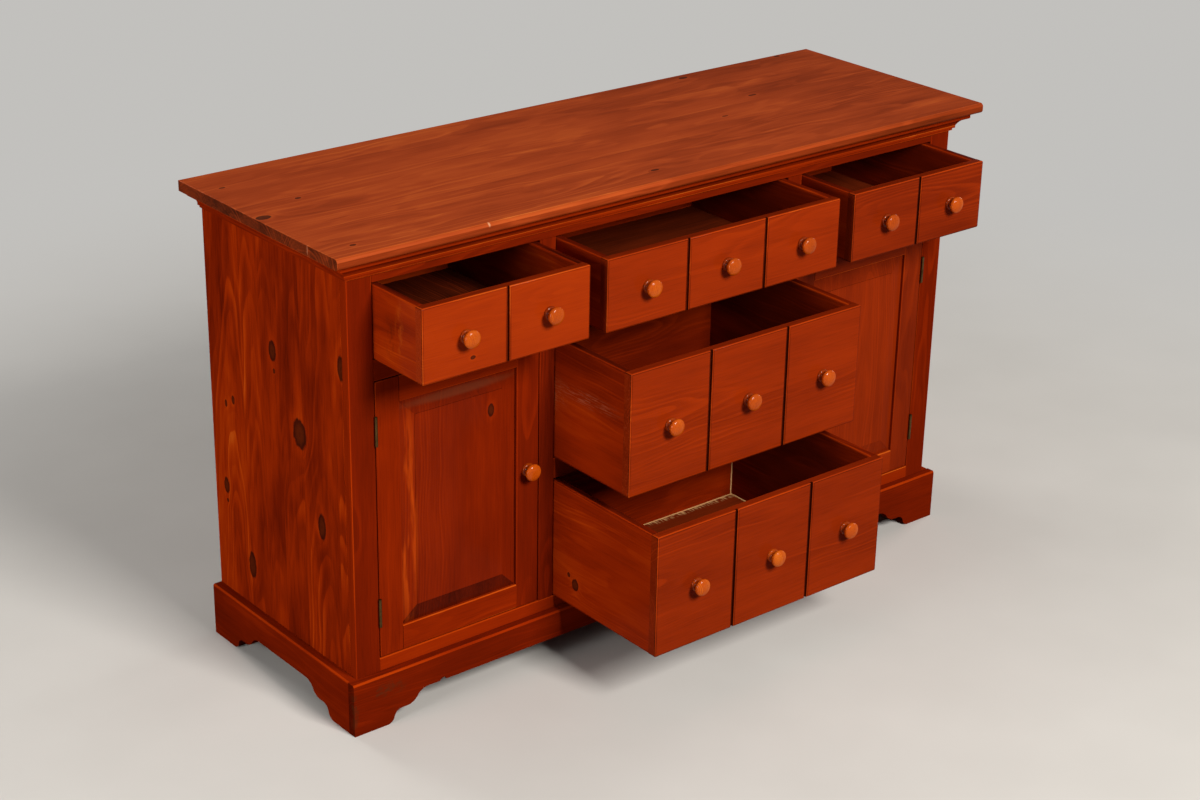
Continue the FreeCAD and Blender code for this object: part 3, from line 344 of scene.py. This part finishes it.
def merged(node):
    """The node's mesh with its split corners joined and its flat triangles merged."""
    mesh = bmesh.new()
    mesh.from_mesh(frame["nodes"][node].data)
    bmesh.ops.remove_doubles(mesh, verts=mesh.verts, dist=JOIN_GAP)
    bmesh.ops.dissolve_limit(mesh, angle_limit=0.002, verts=mesh.verts, edges=mesh.edges)
    return mesh


def islands(mesh):
    """The closed solids of a mesh, each a list of faces, in a steady order."""
    seen, found = set(), []
    for start in mesh.faces:
        if start in seen:
            continue
        group, queue = [], [start]
        seen.add(start)
        while queue:
            face = queue.pop()
            group.append(face)
            for edge in face.edges:
                for other in edge.link_faces:
                    if other not in seen:
                        seen.add(other)
                        queue.append(other)
        found.append(group)
    return sorted(found, key=lambda group: tuple(round(value, 4) for value in extent(group)[0]))


def extent(faces):
    corners = [vertex.co for face in faces for vertex in face.verts]
    return (Vector(min(c[axis] for c in corners) for axis in range(3)),
            Vector(max(c[axis] for c in corners) for axis in range(3)))


def outer_planes(edge, low, high):
    """Which faces of the solid's box an edge lies in, as (axis, sign) pairs."""
    planes = set()
    for axis in range(3):
        for sign, bound in ((-1, low), (1, high)):
            if all(abs(vertex.co[axis] - bound[axis]) < SAME_PLANE for vertex in edge.verts):
                planes.add((axis, sign))
    return planes


def cut_at(mesh, axis, places):
    """New edges where a glued-up panel changes from one board to the next."""
    normal = Vector((0, 0, 0))
    normal[axis] = 1
    for value in places:
        spot = Vector((0, 0, 0))
        spot[axis] = value
        everything = mesh.verts[:] + mesh.edges[:] + mesh.faces[:]
        bmesh.ops.bisect_plane(mesh, geom=everything, plane_co=spot, plane_no=normal, dist=JOIN_GAP)


def edges_to_ease(mesh, sharp, extra, bright):
    """The corners of every solid's box and of the extra planes, and the bright lines along x."""
    chosen = []
    mesh.edges.index_update()
    for group in islands(mesh):
        low, high = extent(group)
        for edge in {edge for face in group for edge in face.edges}:
            if not edge.is_convex or edge.calc_face_angle(0.0) < CORNER_ANGLE:
                continue
            planes = outer_planes(edge, low, high)
            on_extra = any(all(abs(vertex.co[where] - value) < SAME_PLANE for vertex in edge.verts)
                           for where, value in extra)
            if on_extra and edge.calc_length() > SHORTEST_EASED:
                chosen.append(edge)
            elif sharp != "all" and len(planes) == 2 and not any(set(pair) == planes for pair in sharp):
                chosen.append(edge)
    for edge in mesh.edges:
        on_line = any(all(abs(vertex.co.y - y) < NEAR and abs(vertex.co.z - z) < NEAR
                          for vertex in edge.verts) for y, z in bright)
        if on_line and edge.calc_length() > SHORTEST_BRIGHT:
            chosen.append(edge)
    return sorted(chosen, key=lambda edge: edge.index)


def tint_by_side(face, outside, rim, inner, ends_of_x, slopes):
    """A face's own tint: rim if it is level, ends_of_x if it looks along x, inner if it stands
    inside the node's box, darker yet if that one looks along x, and a slope's value where it slants.
    The inner tint and its darker step are painted shade in the grooves and inside the drawers, and
    painted light where inner is positive; a slope's value is painted shade or light by the way the
    slope faces."""
    darker = 0.10
    middle, normal = face.calc_center_median(), face.normal
    tint = rim if abs(normal.z) > FACING else 0.0
    if abs(normal.x) > FACING:
        tint = ends_of_x
    on_outside = any(abs(middle[axis] - bound[axis]) < NEAR for axis in (0, 1) for bound in outside)
    if max(abs(normal.x), abs(normal.y)) > FACING and not on_outside:
        tint = inner - (darker if abs(normal.x) > FACING else 0.0)
    for axis, sign, value in slopes:
        if SLANTING < normal[axis] * sign < FACING:
            tint = value
    return tint


def board_chances(node, number, strip, width, spread):
    """A board's own shift along the grain, the side and depth of its pith, and its shade."""
    chance = random.Random(f"{node}/{number}/{strip}")
    shift = chance.uniform(0, 40)
    side = chance.uniform(-0.35, 0.35) * min(width, 0.12)
    pith = chance.uniform(0.025, 0.085)
    return shift, side, pith, chance.uniform(-spread, spread)


def add_grain(data, grain, board, material, sharp_from):
    """Gives a mesh the corner values that the wood reads, its wood and its sharp edges."""
    data.attributes.new("grain", "FLOAT_VECTOR", "CORNER").data.foreach_set("vector", grain)
    data.attributes.new("board", "FLOAT_COLOR", "CORNER").data.foreach_set("color", board)
    data.materials.append(material)
    data.set_sharp_from_angle(angle=math.radians(sharp_from))


def place_piece(node, data):
    """The finished mesh as a piece that stands for the node."""
    piece = bpy.data.objects.new(f"{node}_wood", data)
    bpy.context.scene.collection.objects.link(piece)
    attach(piece, BODY_OF[node])
    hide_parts(node)


def board_piece(node, material, ease=0.0012, tint=0.0, strips=None, sharp=(), extra=(), ends=1.0,
                spread=0.03, curved=False, rim=0.0, inner=0.0, ends_of_x=0.0, bright=(), wear_and_highlight=0.35,
                crest=0.0, scuffed=0.0, slopes=()):
    """A copy of a wooden node with eased edges and with each board's own grain.

    strips is (axis, places): planes where a panel is glued up from narrower boards. sharp lists
    (axis, sign) pairs of box faces: an edge between the two stays sharp. extra lists (axis, place):
    edges in those planes are eased too, as are the lines along x that bright lists as (y, z). tint
    darkens or lightens the whole node, spread each board by chance, ends the end grain. The eased
    edges are painted lighter by a given amount: the stain rubbed off them and a painted highlight
    along their rounding; crest is how far under the top a rounded edge counts as one, so it takes
    that painted highlight too. scuffed is how far the x ends are rubbed. curved keeps curves smooth.
    rim, inner, ends_of_x and slopes are as in tint_by_side.
    """
    mesh = merged(node)
    eased = mesh.faces.layers.int.new("eased")
    node_top = extent(mesh.faces)[1].z
    cuts = sorted(strips[1]) if strips else ()
    if strips:
        cut_at(mesh, *strips)
    if ease:
        result = bmesh.ops.bevel(mesh, geom=edges_to_ease(mesh, sharp, extra, bright), offset=ease,
                                 offset_type="OFFSET", segments=3, profile=0.5, affect="EDGES",
                                 clamp_overlap=False)
        for face in result["faces"]:
            face[eased] = 1
    mesh.normal_update()

    grain_of, board_of = {}, {}
    outside = extent(mesh.faces)
    for number, group in enumerate(islands(mesh)):
        low, high = extent(group)
        size = high - low
        along, wide, thin = sorted(range(3), key=lambda index: -size[index])
        cut_axis = strips[0] if strips else wide
        bounds = [low[cut_axis], *cuts, high[cut_axis]]
        for face in group:
            middle = face.calc_center_median()
            strip = sum(middle[cut_axis] > value for value in cuts)
            shift, side, pith, shade = board_chances(node, number, strip, size[wide], spread)
            center = (bounds[strip] + bounds[strip + 1]) / 2
            turned = max(abs(value) for value in face.normal) < TURNED
            # Rounded faces just under the top count as eased, so they take the painted highlight too.
            if crest and turned and middle.z > node_top - crest:
                face[eased] = 1
            for loop in face.loops:
                point = loop.vert.co
                grain_of[loop] = (point[along] + shift, point[wide] - center + side,
                                  point[thin] - low[thin] + pith)
            own_tint = tint_by_side(face, outside, rim, inner, ends_of_x, slopes)
            # Per face: tint (painted shade or light for some faces, see tint_by_side), end grain, the eased
            # edges' lightening (rubbed stain and painted highlight) and the rubbed x ends.
            board_of[face] = (0.5 + tint + shade + own_tint,
                              ends if abs(face.normal[along]) > END_GRAIN else 0.0,
                              face[eased] * wear_and_highlight,
                              scuffed if abs(face.normal.x) > FACING else 0.0)

    grain, board, rounded = [], [], []
    for face in mesh.faces:
        off_axis = max(abs(value) for value in face.normal) < LEVEL
        rounded.append(off_axis and (curved or bool(face[eased])))
        for loop in face.loops:
            grain.extend(grain_of[loop])
            board.extend(board_of[face])
    data = bpy.data.meshes.new(f"{node}_wood")
    mesh.to_mesh(data)
    mesh.free()
    add_grain(data, grain, board, material, 35)
    data.polygons.foreach_set("use_smooth", rounded)
    place_piece(node, data)


# Knobs

def knob_profile():
    """The turned outline as (radius, height over the wood), from the tenon to the crown, metres."""
    line = [(0.0, -0.0138), (0.0045, -0.0138), (0.0045, 0.0), (0.0128, 0.0), (0.0131, 0.0012),
            (0.0131, 0.0026), (0.0125, 0.0040), (0.0113, 0.0050), (0.0098, 0.0054), (0.0093, 0.0062),
            (0.0093, 0.0082), (0.0100, 0.0102), (0.0118, 0.0118), (0.0140, 0.0134), (0.0155, 0.0150),
            (0.0161, 0.0168), (0.0161, 0.0184)]
    (widest, shoulder), crown = line[-1], 0.0064
    for turn in range(1, 11):
        angle = math.radians(9 * turn)
        line.append((widest * math.cos(angle), shoulder + crown * math.sin(angle)))
    return line


def turned_shape(line, x, y, z, start):
    """The points and faces of one knob; the faces count its points from start."""
    turns = 40
    points, faces = [], []
    for radius, height in line[1:-1]:
        for turn in range(turns):
            angle = math.tau * turn / turns
            points.append((x + radius * math.cos(angle), y - height, z + radius * math.sin(angle)))
    rows = len(line) - 2
    for row in range(rows - 1):
        for turn in range(turns):
            nearer, further = start + row * turns, start + (row + 1) * turns
            after = (turn + 1) % turns
            faces.append((nearer + turn, nearer + after, further + after, further + turn))
    foot, crown = start + len(points), start + len(points) + 1
    points.append((x, y - line[0][1], z))
    points.append((x, y - line[-1][1], z))
    last = start + (rows - 1) * turns
    for turn in range(turns):
        after = (turn + 1) % turns
        faces.append((foot, start + after, start + turn))
        faces.append((crown, last + turn, last + after))
    return points, faces


def knob_piece(node, material):
    """Every knob of a node, turned on a lathe: its axis runs along y, its crown faces front."""
    mesh = merged(node)
    boxes = [extent(group) for group in islands(mesh)]
    mesh.free()
    line = knob_profile()
    # Faces close to the wood, the collar and neck, are tinted darker: painted shade cast by the head.
    length, neck, neck_shade = 0.025, 0.0115, -0.30
    points, faces, grain, board = [], [], [], []
    for number, (low, high) in enumerate(boxes):
        chance = random.Random(f"{node}/{number}")
        shift, pith, shade = chance.uniform(0, 40), chance.uniform(0.02, 0.05), chance.uniform(-0.08, 0.08)
        middle_x, middle_z, wood_y = (low.x + high.x) / 2, (low.z + high.z) / 2, low.y + length
        own_points, own_faces = turned_shape(line, middle_x, wood_y, middle_z, len(points))
        points += own_points
        faces += own_faces
        for face in own_faces:
            depth = wood_y - max(points[index][1] for index in face)
            tone = 0.5 + shade + (neck_shade if depth < neck else 0.0)
            for x, y, z in (points[index] for index in face):
                grain.extend((y + shift, x - middle_x + pith, z - middle_z))
                board.extend((tone, 0.0, 0.0, 0.0))
    data = bpy.data.meshes.new(f"{node}_wood")
    data.from_pydata(points, [], faces)
    add_grain(data, grain, board, material, 40)
    place_piece(node, data)


def use(node, material):
    """Gives a node that keeps its own shape a finished material."""
    thing = frame["nodes"][node]
    thing.data.materials.clear()
    thing.data.materials.append(material)


# The woods, with the knots and marks that the photograph shows

def knot(x, y, z, size, stretch):
    """A knot centred at a point; stretch divides distances, so 0 runs it through the board."""
    return ((x, y, z), size, stretch)


def case_woods():
    """The woods of the case, by short names."""
    wood = {"plain": wood_material("stained_pine", PINE, coat=0.0),
            "frame": wood_material("stained_pine_frame", PINE, figure=0.5, cloud=0.22, coat=0.0)}
    scraped = (0.075, 0.0220, 0.0080)
    wood["plinth"] = wood_material("stained_pine_plinth", PINE, figure=0.45, cloud=0.34, coat=0.0, marks=[
        ((-0.6650, -0.0895, 0.072), (0.050, 0.02, 0.022), scraped, 0.55, (60.0, 60.0, 90.0)),
        ((-0.7350, -0.0895, 0.050), (0.012, 0.02, 0.055), scraped, 0.50, (90.0, 60.0, 60.0))])
    side_x = -0.718
    side_knots = ((0.241, 0.652, 0.0105, 1.7), (0.160, 0.522, 0.0190, 1.35), (0.411, 0.493, 0.0040, 1.6),
                  (0.385, 0.508, 0.0045, 1.8), (0.423, 0.3225, 0.0085, 1.7), (0.422, 0.292, 0.0035, 1.0),
                  (0.097, 0.366, 0.0105, 2.2), (0.342, 0.189, 0.0110, 2.2), (0.022, 0.692, 0.0095, 2.2),
                  (0.2375, 0.615, 0.0035, 1.2))
    wood["side"] = wood_material(
        "stained_pine_left_side", PINE, figure=1.05, cloud=0.74, flame=0.03, coat=0.0, ring=0.0092,
        sway_by=0.060, slope=0.80, taper=0.090,
        knots=[knot(side_x, FACE_Y + y, z, size, (0.0, 1.0, 1.0 / stretch))
               for y, z, size, stretch in side_knots])
    top_z = 0.914
    top_knots = ((-0.7465, 0.203, 0.0085, 1.5), (-0.645, 0.256, 0.0036, 1.5), (-0.722, 0.380, 0.0028, 2.0),
                 (-0.701, 0.001, 0.0036, 1.5), (0.396, 0.443, 0.0050, 1.9), (0.669, 0.455, 0.0040, 1.8),
                 (0.427, 0.268, 0.0032, 3.0), (0.285, 0.191, 0.0026, 2.5), (-0.044, 0.013, 0.0035, 2.4))
    dent = ((-0.457, -0.1135, 0.9110), (0.0030, 0.0060, 0.0060), (0.75, 0.42, 0.22), 0.6, None)
    open_joint = ((-0.762, FACE_Y + 0.0437, 0.9060), (0.0100, 0.0012, 0.0120), (0.50, 0.20, 0.10), 0.8, None)
    # The top is painted darker towards its right end: a painted falloff of the light.
    wood["top"] = wood_material(
        "stained_pine_top", TOP_WITH_SHEEN, coat=0.07, coat_rough=0.35, figure=0.85, cloud=0.48, flame=0.08, fade=0.10,
        ring=0.0065, marks=[dent, open_joint],
        knots=[knot(x, FACE_Y + y, top_z, size, (1.0 / stretch, 1.0, 0.0))
               for x, y, size, stretch in top_knots])
    wood["bare"] = wood_material("bare_pine", BARE, rough=0.6, coat=0.0, figure=0.6)
    return wood


def door_woods():
    """The woods of the door panels, by short names."""
    # The second mark, greyish and darker along the left panel's top bevel, is a painted sheen of reflected
    # light in the painted shadow of the drawer above.
    orange, grey_sheen_and_shade = (0.56, 0.070, 0.004), (0.17, 0.044, 0.017)
    marks = [((-0.6000, -0.066, 0.380), (0.0240, 0.020, 0.260), orange, 0.75, (50.0, 60.0, 4.0)),
             ((-0.4905, -0.066, 0.6000), (0.160, 0.020, 0.0110), grey_sheen_and_shade, 0.45, None)]
    return {"right": wood_material("stained_pine_panel", FRONT, figure=0.45, cloud=0.26),
            "left": wood_material("stained_pine_left_panel", PINE, figure=0.45, cloud=0.26, marks=marks,
                                  knots=[knot(-0.421, -0.0705, 0.5455, 0.0062, (1.0, 0.0, 0.55))])}


def front_woods():
    """The woods of the drawer fronts, by drawer; the others share one."""
    return {"others": wood_material("stained_pine_fronts", FRONT, figure=0.5, cloud=0.22),
            "left": wood_material("stained_pine_left_front", FRONT, figure=0.5, cloud=0.22,
                                  knots=[knot(-0.564, -0.2135, 0.729, 0.0048, (1.0, 0.0, 1.5))])}


def box_woods():
    """The woods of the drawer boxes, by drawer; the others share one."""
    left_x, centre_x, right_wall_x, back_y = -0.6655, -0.278, 0.2600, 0.0295
    light, dark, scuff = (0.46, 0.070, 0.005), (0.11, 0.012, 0.002), (0.42, 0.12, 0.055)
    left_marks = [((left_x, -0.148, 0.780), (0.02, 0.016, 0.065), light, 0.40, (60.0, 90.0, 40.0)),
                  ((left_x, -0.118, 0.760), (0.02, 0.022, 0.045), dark, 0.50, (60.0, 60.0, 30.0))]
    middle_marks = [((centre_x, -0.165, 0.560), (0.02, 0.110, 0.020), scuff, 0.45, (60.0, 30.0, 420.0)),
                    ((centre_x, -0.060, 0.545), (0.02, 0.060, 0.050), scuff, 0.30, (60.0, 90.0, 420.0))]
    low_marks = [((right_wall_x, back_y, 0.175), (0.0022, 0.0022, 0.065), UNSTAINED, 0.80, None)]
    low_knots = [knot(centre_x, -0.137, 0.178, 0.0085, (0.0, 1.0, 0.8)),
                 knot(centre_x, -0.118, 0.192, 0.0035, (0.0, 1.0, 0.8))]
    return {"others": wood_material("stained_pine_boxes", PINE, figure=0.6, cloud=0.50, flame=0.06),
            "left": wood_material("stained_pine_left_box", PINE, figure=0.6, cloud=0.60, flame=0.06,
                                  marks=left_marks),
            "middle": wood_material("stained_pine_middle_box", PINE, figure=0.5, cloud=0.50,
                                    marks=middle_marks),
            "bottom": wood_material("stained_pine_low_box", PINE, figure=0.6, cloud=0.50, flame=0.06,
                                    knots=low_knots, marks=low_marks)}


def floor_woods():
    """The plywood of the drawer bottoms; the low one has unstained strips along its back and side."""
    z = 0.1439
    strips = [((0.130, 0.0265, z), (0.400, 0.0160, 0.02), UNSTAINED, 0.75, (260.0, 50.0, 60.0)),
              ((0.130, 0.0290, z), (0.280, 0.0050, 0.02), UNSTAINED, 0.95, None),
              ((0.2615, -0.020, z), (0.0065, 0.1000, 0.02), UNSTAINED, 0.75, (60.0, 300.0, 60.0)),
              ((0.2620, -0.020, z), (0.0045, 0.1000, 0.02), UNSTAINED, 0.90, None)]
    return {"others": wood_material("stained_plywood", PLY, rough=0.5, coat=0.0, figure=0.7),
            "bottom": wood_material("stained_plywood_low", PLY, rough=0.5, coat=0.0, figure=0.7,
                                    marks=strips)}


# The pieces

def dress_case(wood):
    """The fixed wooden pieces; seams are how far behind FACE_Y a panel's boards are glued together."""
    seams = {"top": (0.0437, 0.130, 0.240, 0.352), "left": (0.040, 0.150, 0.222, 0.281, 0.346),
             "right": (0.085, 0.190, 0.270, 0.365)}
    glued = {name: (1, [FACE_Y + place for place in places]) for name, places in seams.items()}
    # The top's rounded front edge is painted lighter along the nose: a painted highlight.
    board_piece("top_board", wood["top"], ease=0.0010, tint=-0.19, rim=0.17, curved=True, crest=0.009,
                wear_and_highlight=0.65, ends=0.6, strips=glued["top"])
    board_piece("left_side_panel", wood["side"], tint=-0.05, spread=0.06, strips=glued["left"])
    board_piece("right_side_panel", wood["plain"], strips=glued["right"])
    # The fillets' lower edges are painted lighter: painted highlights along the moulding.
    fillets = ((FACE_Y - 0.008, 0.866), (FACE_Y - 0.004, 0.856))
    board_piece("front_moulding", wood["frame"], tint=-0.08, ease=0.0006, curved=True, bright=fillets,
                sharp="all", wear_and_highlight=1.2)
    board_piece("return_mouldings", wood["frame"], tint=-0.06, ease=0, curved=True)
    # The stiles and rails are tinted darker, partly the wood's own tone and partly painted shade: the top
    # rail under the top's overhang, the inner stiles between the open drawers and the outer stiles beside
    # the left one. Faces that look along x are lifted out of it.
    for node, tint, wear_and_highlight in (("outer_stiles", -0.18, 1.0), ("inner_stiles", -0.21, 0.4),
                             ("top_rail", -0.18, 0.3), ("bottom_rail", -0.05, 1.0),
                             ("middle_rails", -0.10, 0.5)):
        board_piece(node, wood["frame"], tint=tint, ends_of_x=0.10, ease=0.0018, wear_and_highlight=wear_and_highlight)
    # The plinths' rounded top edges are painted lighter: a painted highlight along them.
    for node, tint in (("plinth_front", -0.17), ("plinth_left", -0.18), ("plinth_right", -0.11)):
        board_piece(node, wood["plinth"], tint=tint, ease=0, curved=True, crest=0.006, wear_and_highlight=0.9, ends=0.4)
    for node in ("partitions", "bottom_board", "shelves", "back_panel"):
        board_piece(node, wood["plain"], tint=-0.12, ease=0)
    for node in ("shelf_cleats", "rear_stretcher", "corner_blocks", "drawer_runners",
                 "drawer_guides_and_stops", "kickers"):
        board_piece(node, wood["bare"], ease=0)


def dress_drawers(fronts):
    """The drawers' wooden pieces; the edges where a front and its box meet stay sharp."""
    boxes, floors = box_woods(), floor_woods()
    front, back, left, right, low, high = (1, -1), (1, 1), (0, -1), (0, 1), (2, -1), (2, 1)
    at_the_box = tuple((back, side) for side in (left, right, low))
    at_the_front = tuple((front, side) for side in (left, right, high, low))
    # The drawer bottoms are tinted darker: painted shade inside the drawers, deepest in the left one.
    scuffed, floor_shade = {"left": 0.6, "middle": 0.6}, {"left": -0.36, "bottom": -0.10}
    for name, tint in (("left", 0.04), ("right", -0.11), ("top", -0.04), ("middle", -0.07),
                       ("bottom", -0.10)):
        front_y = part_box(f"{name}_drawer_front")[0][1]
        # The fronts' inner faces, in the grooves between false fronts, and the boxes' inside walls are
        # tinted darker: painted shade; the left box's inside is painted lighter instead.
        board_piece(f"{name}_drawer_front", fronts.get(name, fronts["others"]), tint=tint, ease=0.0028,
                    sharp=at_the_box, extra=((1, front_y),), ends=0.1, rim=-0.17 - tint, inner=-0.34,
                    scuffed=scuffed.get(name, 0.25), wear_and_highlight=0.7)
        board_piece(f"{name}_drawer_box", boxes.get(name, boxes["others"]), tint=-0.02, ease=0.0040,
                    rim=-0.26, inner=0.08 if name == "left" else -0.06, wear_and_highlight=0.15, sharp=at_the_front)
        board_piece(f"{name}_drawer_bottom", floors.get(name, floors["others"]), ease=0,
                    tint=floor_shade.get(name, -0.25))


def dress_doors(left_wood, right_wood):
    """The doors' frames, each in its own wood, and their raised panels."""
    panels = door_woods()
    for name, own in (("left", left_wood), ("right", right_wood)):
        # The lock stiles are tinted darker than the hinge stiles: painted shade of the open drawers above.
        for part, tint, wear_and_highlight in (("hinge_stile", -0.13, 0.5), ("lock_stile", -0.19, 0.5),
                                 ("rails", -0.07, 1.0)):
            board_piece(f"{name}_door_{part}", own, tint=tint, ease=0.0018, wear_and_highlight=wear_and_highlight)
    # The panel bevels are tinted by the way they face: painted shade on the lower and top bevels, deepest on
    # the left panel's lower one, and painted light on the left panel's left bevel.
    board_piece("left_door_panel", panels["left"], tint=-0.15, ease=0,
                slopes=((2, -1, -0.17), (2, 1, -0.04), (0, -1, 0.05)))
    board_piece("right_door_panel", panels["right"], tint=-0.07, ease=0,
                slopes=((2, -1, -0.04), (2, 1, -0.04)))


def dress_hardware():
    """Turned knobs in place of the nodes', and finished materials for hinges, strikes and catches."""
    knob_wood = wood_material("turned_pine", KNOB, rough=0.25, coat=0.3, coat_rough=0.12, ring=0.0030,
                              figure=1.3)
    brass = brass_material()
    steel = plain_material("zinc_plate", (0.35, 0.34, 0.32), (0.62, 0.61, 0.58), 1.0, 0.4, 300.0)
    plastic = plain_material("brown_plastic", (0.030, 0.014, 0.008), (0.055, 0.026, 0.014), 0.0, 0.5, 500.0)
    for node in frame["nodes"]:
        if node.endswith(("_knobs", "_knob")):
            knob_piece(node, knob_wood)
        elif "hinge_leaves" in node or node in ("hinge_frame_leaves", "hinge_pins"):
            use(node, brass)
        elif node.endswith("_strike"):
            use(node, steel)
        elif node == "door_catches":
            use(node, plastic)


# Room, light and camera

def seen(graph):
    """1 for the rays that show a surface, 0 for those that only carry its light on."""
    path = graph.node("ShaderNodeLightPath").outputs
    direct = graph.math("MAXIMUM", path["Is Camera Ray"], path["Is Glossy Ray"])
    return graph.math("MAXIMUM", direct, path["Is Transmission Ray"])


def make_floor():
    """Pale where it is seen, a plank floor to the light that it passes on, and backdrop further off."""
    material, graph, shader = new_material("pale_floor")
    place = graph.node("ShaderNodeTexCoord").outputs["Object"]
    marks = graph.noise(graph.vector("MULTIPLY", place, (3.0, 3.0, 3.0)), detail=3.0)
    pale = graph.ramp(marks, ((0.2, (0.60, 0.59, 0.57)), (0.8, (0.65, 0.64, 0.62))))
    away = graph.vector("LENGTH", graph.vector("MULTIPLY", place, (1.0, 1.0, 0.0)))
    fading, gone = 1.2, 3.0
    far = graph.math("MULTIPLY", graph.smooth(away, fading, gone), seen(graph))
    pale = graph.blend(far, pale, BLACK)
    link(graph, graph.blend(seen(graph), PLANK_FLOOR, pale), shader, "Base Color")
    link(graph, graph.blend(far, BLACK, BACKDROP), shader, "Emission Color")
    shader.inputs["Emission Strength"].default_value = 1.0
    shader.inputs["Specular IOR Level"].default_value = 0.0
    shader.inputs["Roughness"].default_value = 0.7
    mesh = bpy.data.meshes.new("floor")
    reach = 14.0
    mesh.from_pydata([(-reach, -reach, 0), (reach, -reach, 0), (reach, reach, 0), (-reach, reach, 0)],
                     [], [(0, 1, 2, 3)])
    mesh.materials.append(material)
    floor = bpy.data.objects.new("floor", mesh)
    bpy.context.scene.collection.objects.link(floor)


def area_light(name, place, target, size, power, colour):
    lamp = bpy.data.lights.new(name, "AREA")
    lamp.shape = "RECTANGLE"
    lamp.size, lamp.size_y = size
    lamp.energy = power
    lamp.color = colour
    thing = bpy.data.objects.new(name, lamp)
    thing.location = place
    thing.rotation_euler = (Vector(target) - Vector(place)).to_track_quat("-Z", "Y").to_euler()
    bpy.context.scene.collection.objects.link(thing)


def make_light():
    """A dim room, one lamp high in front, and three weak ones at the sides and behind."""
    world = bpy.data.worlds.new("room")
    world.use_nodes = True
    bpy.context.scene.world = world
    graph = Graph(world.node_tree)
    background = world.node_tree.nodes["Background"]
    graph.tree.links.new(graph.blend(seen(graph), ROOM_LIGHT, BACKDROP), background.inputs[0])
    area_light("key", (0.0, -4.05, 3.20), (0.0, -0.1, 0.6), (1.3, 1.5), 268.0, (1.0, 0.96, 0.90))
    target, size, warm = (-0.1, 0.2, 0.6), (1.4, 1.4), (1.0, 0.97, 0.93)
    for name, place, power in (("fill", (-3.3, -0.3, 1.20), 50.0), ("back", (-1.0, 4.2, 2.4), 65.0),
                               ("right", (4.3, 0.5, 1.7), 55.0)):
        area_light(name, place, target, size, power, warm)


def make_camera():
    """The view point fitted to the photograph: 36 mm wide sensor, the roll kept."""
    place = (-2.66038, -3.08591, 2.20529)
    azimuth, elevation, roll = math.radians(-39.53), math.radians(23.57), math.radians(1.10)
    back = Vector((math.sin(azimuth) * math.cos(elevation), -math.cos(azimuth) * math.cos(elevation),
                   math.sin(elevation)))
    right = (-back).cross(Vector((0, 0, 1))).normalized()
    up = right.cross(-back)
    side = right * math.cos(roll) + up * math.sin(roll)
    over = up * math.cos(roll) - right * math.sin(roll)
    camera = bpy.data.cameras.new("camera")
    camera.lens, camera.sensor_width = 69.70, 36.0
    thing = bpy.data.objects.new("camera", camera)
    turned = Matrix((side, over, back)).transposed().to_4x4()
    thing.matrix_world = Matrix.Translation(place) @ turned
    bpy.context.scene.collection.objects.link(thing)
    bpy.context.scene.camera = thing


case_wood = case_woods()
front_wood = front_woods()
dress_case(case_wood)
dress_drawers(front_wood)
dress_doors(case_wood["frame"], front_wood["others"])
dress_hardware()
make_floor()
make_light()
make_camera()
bpy.context.scene.view_settings.view_transform = "Standard"
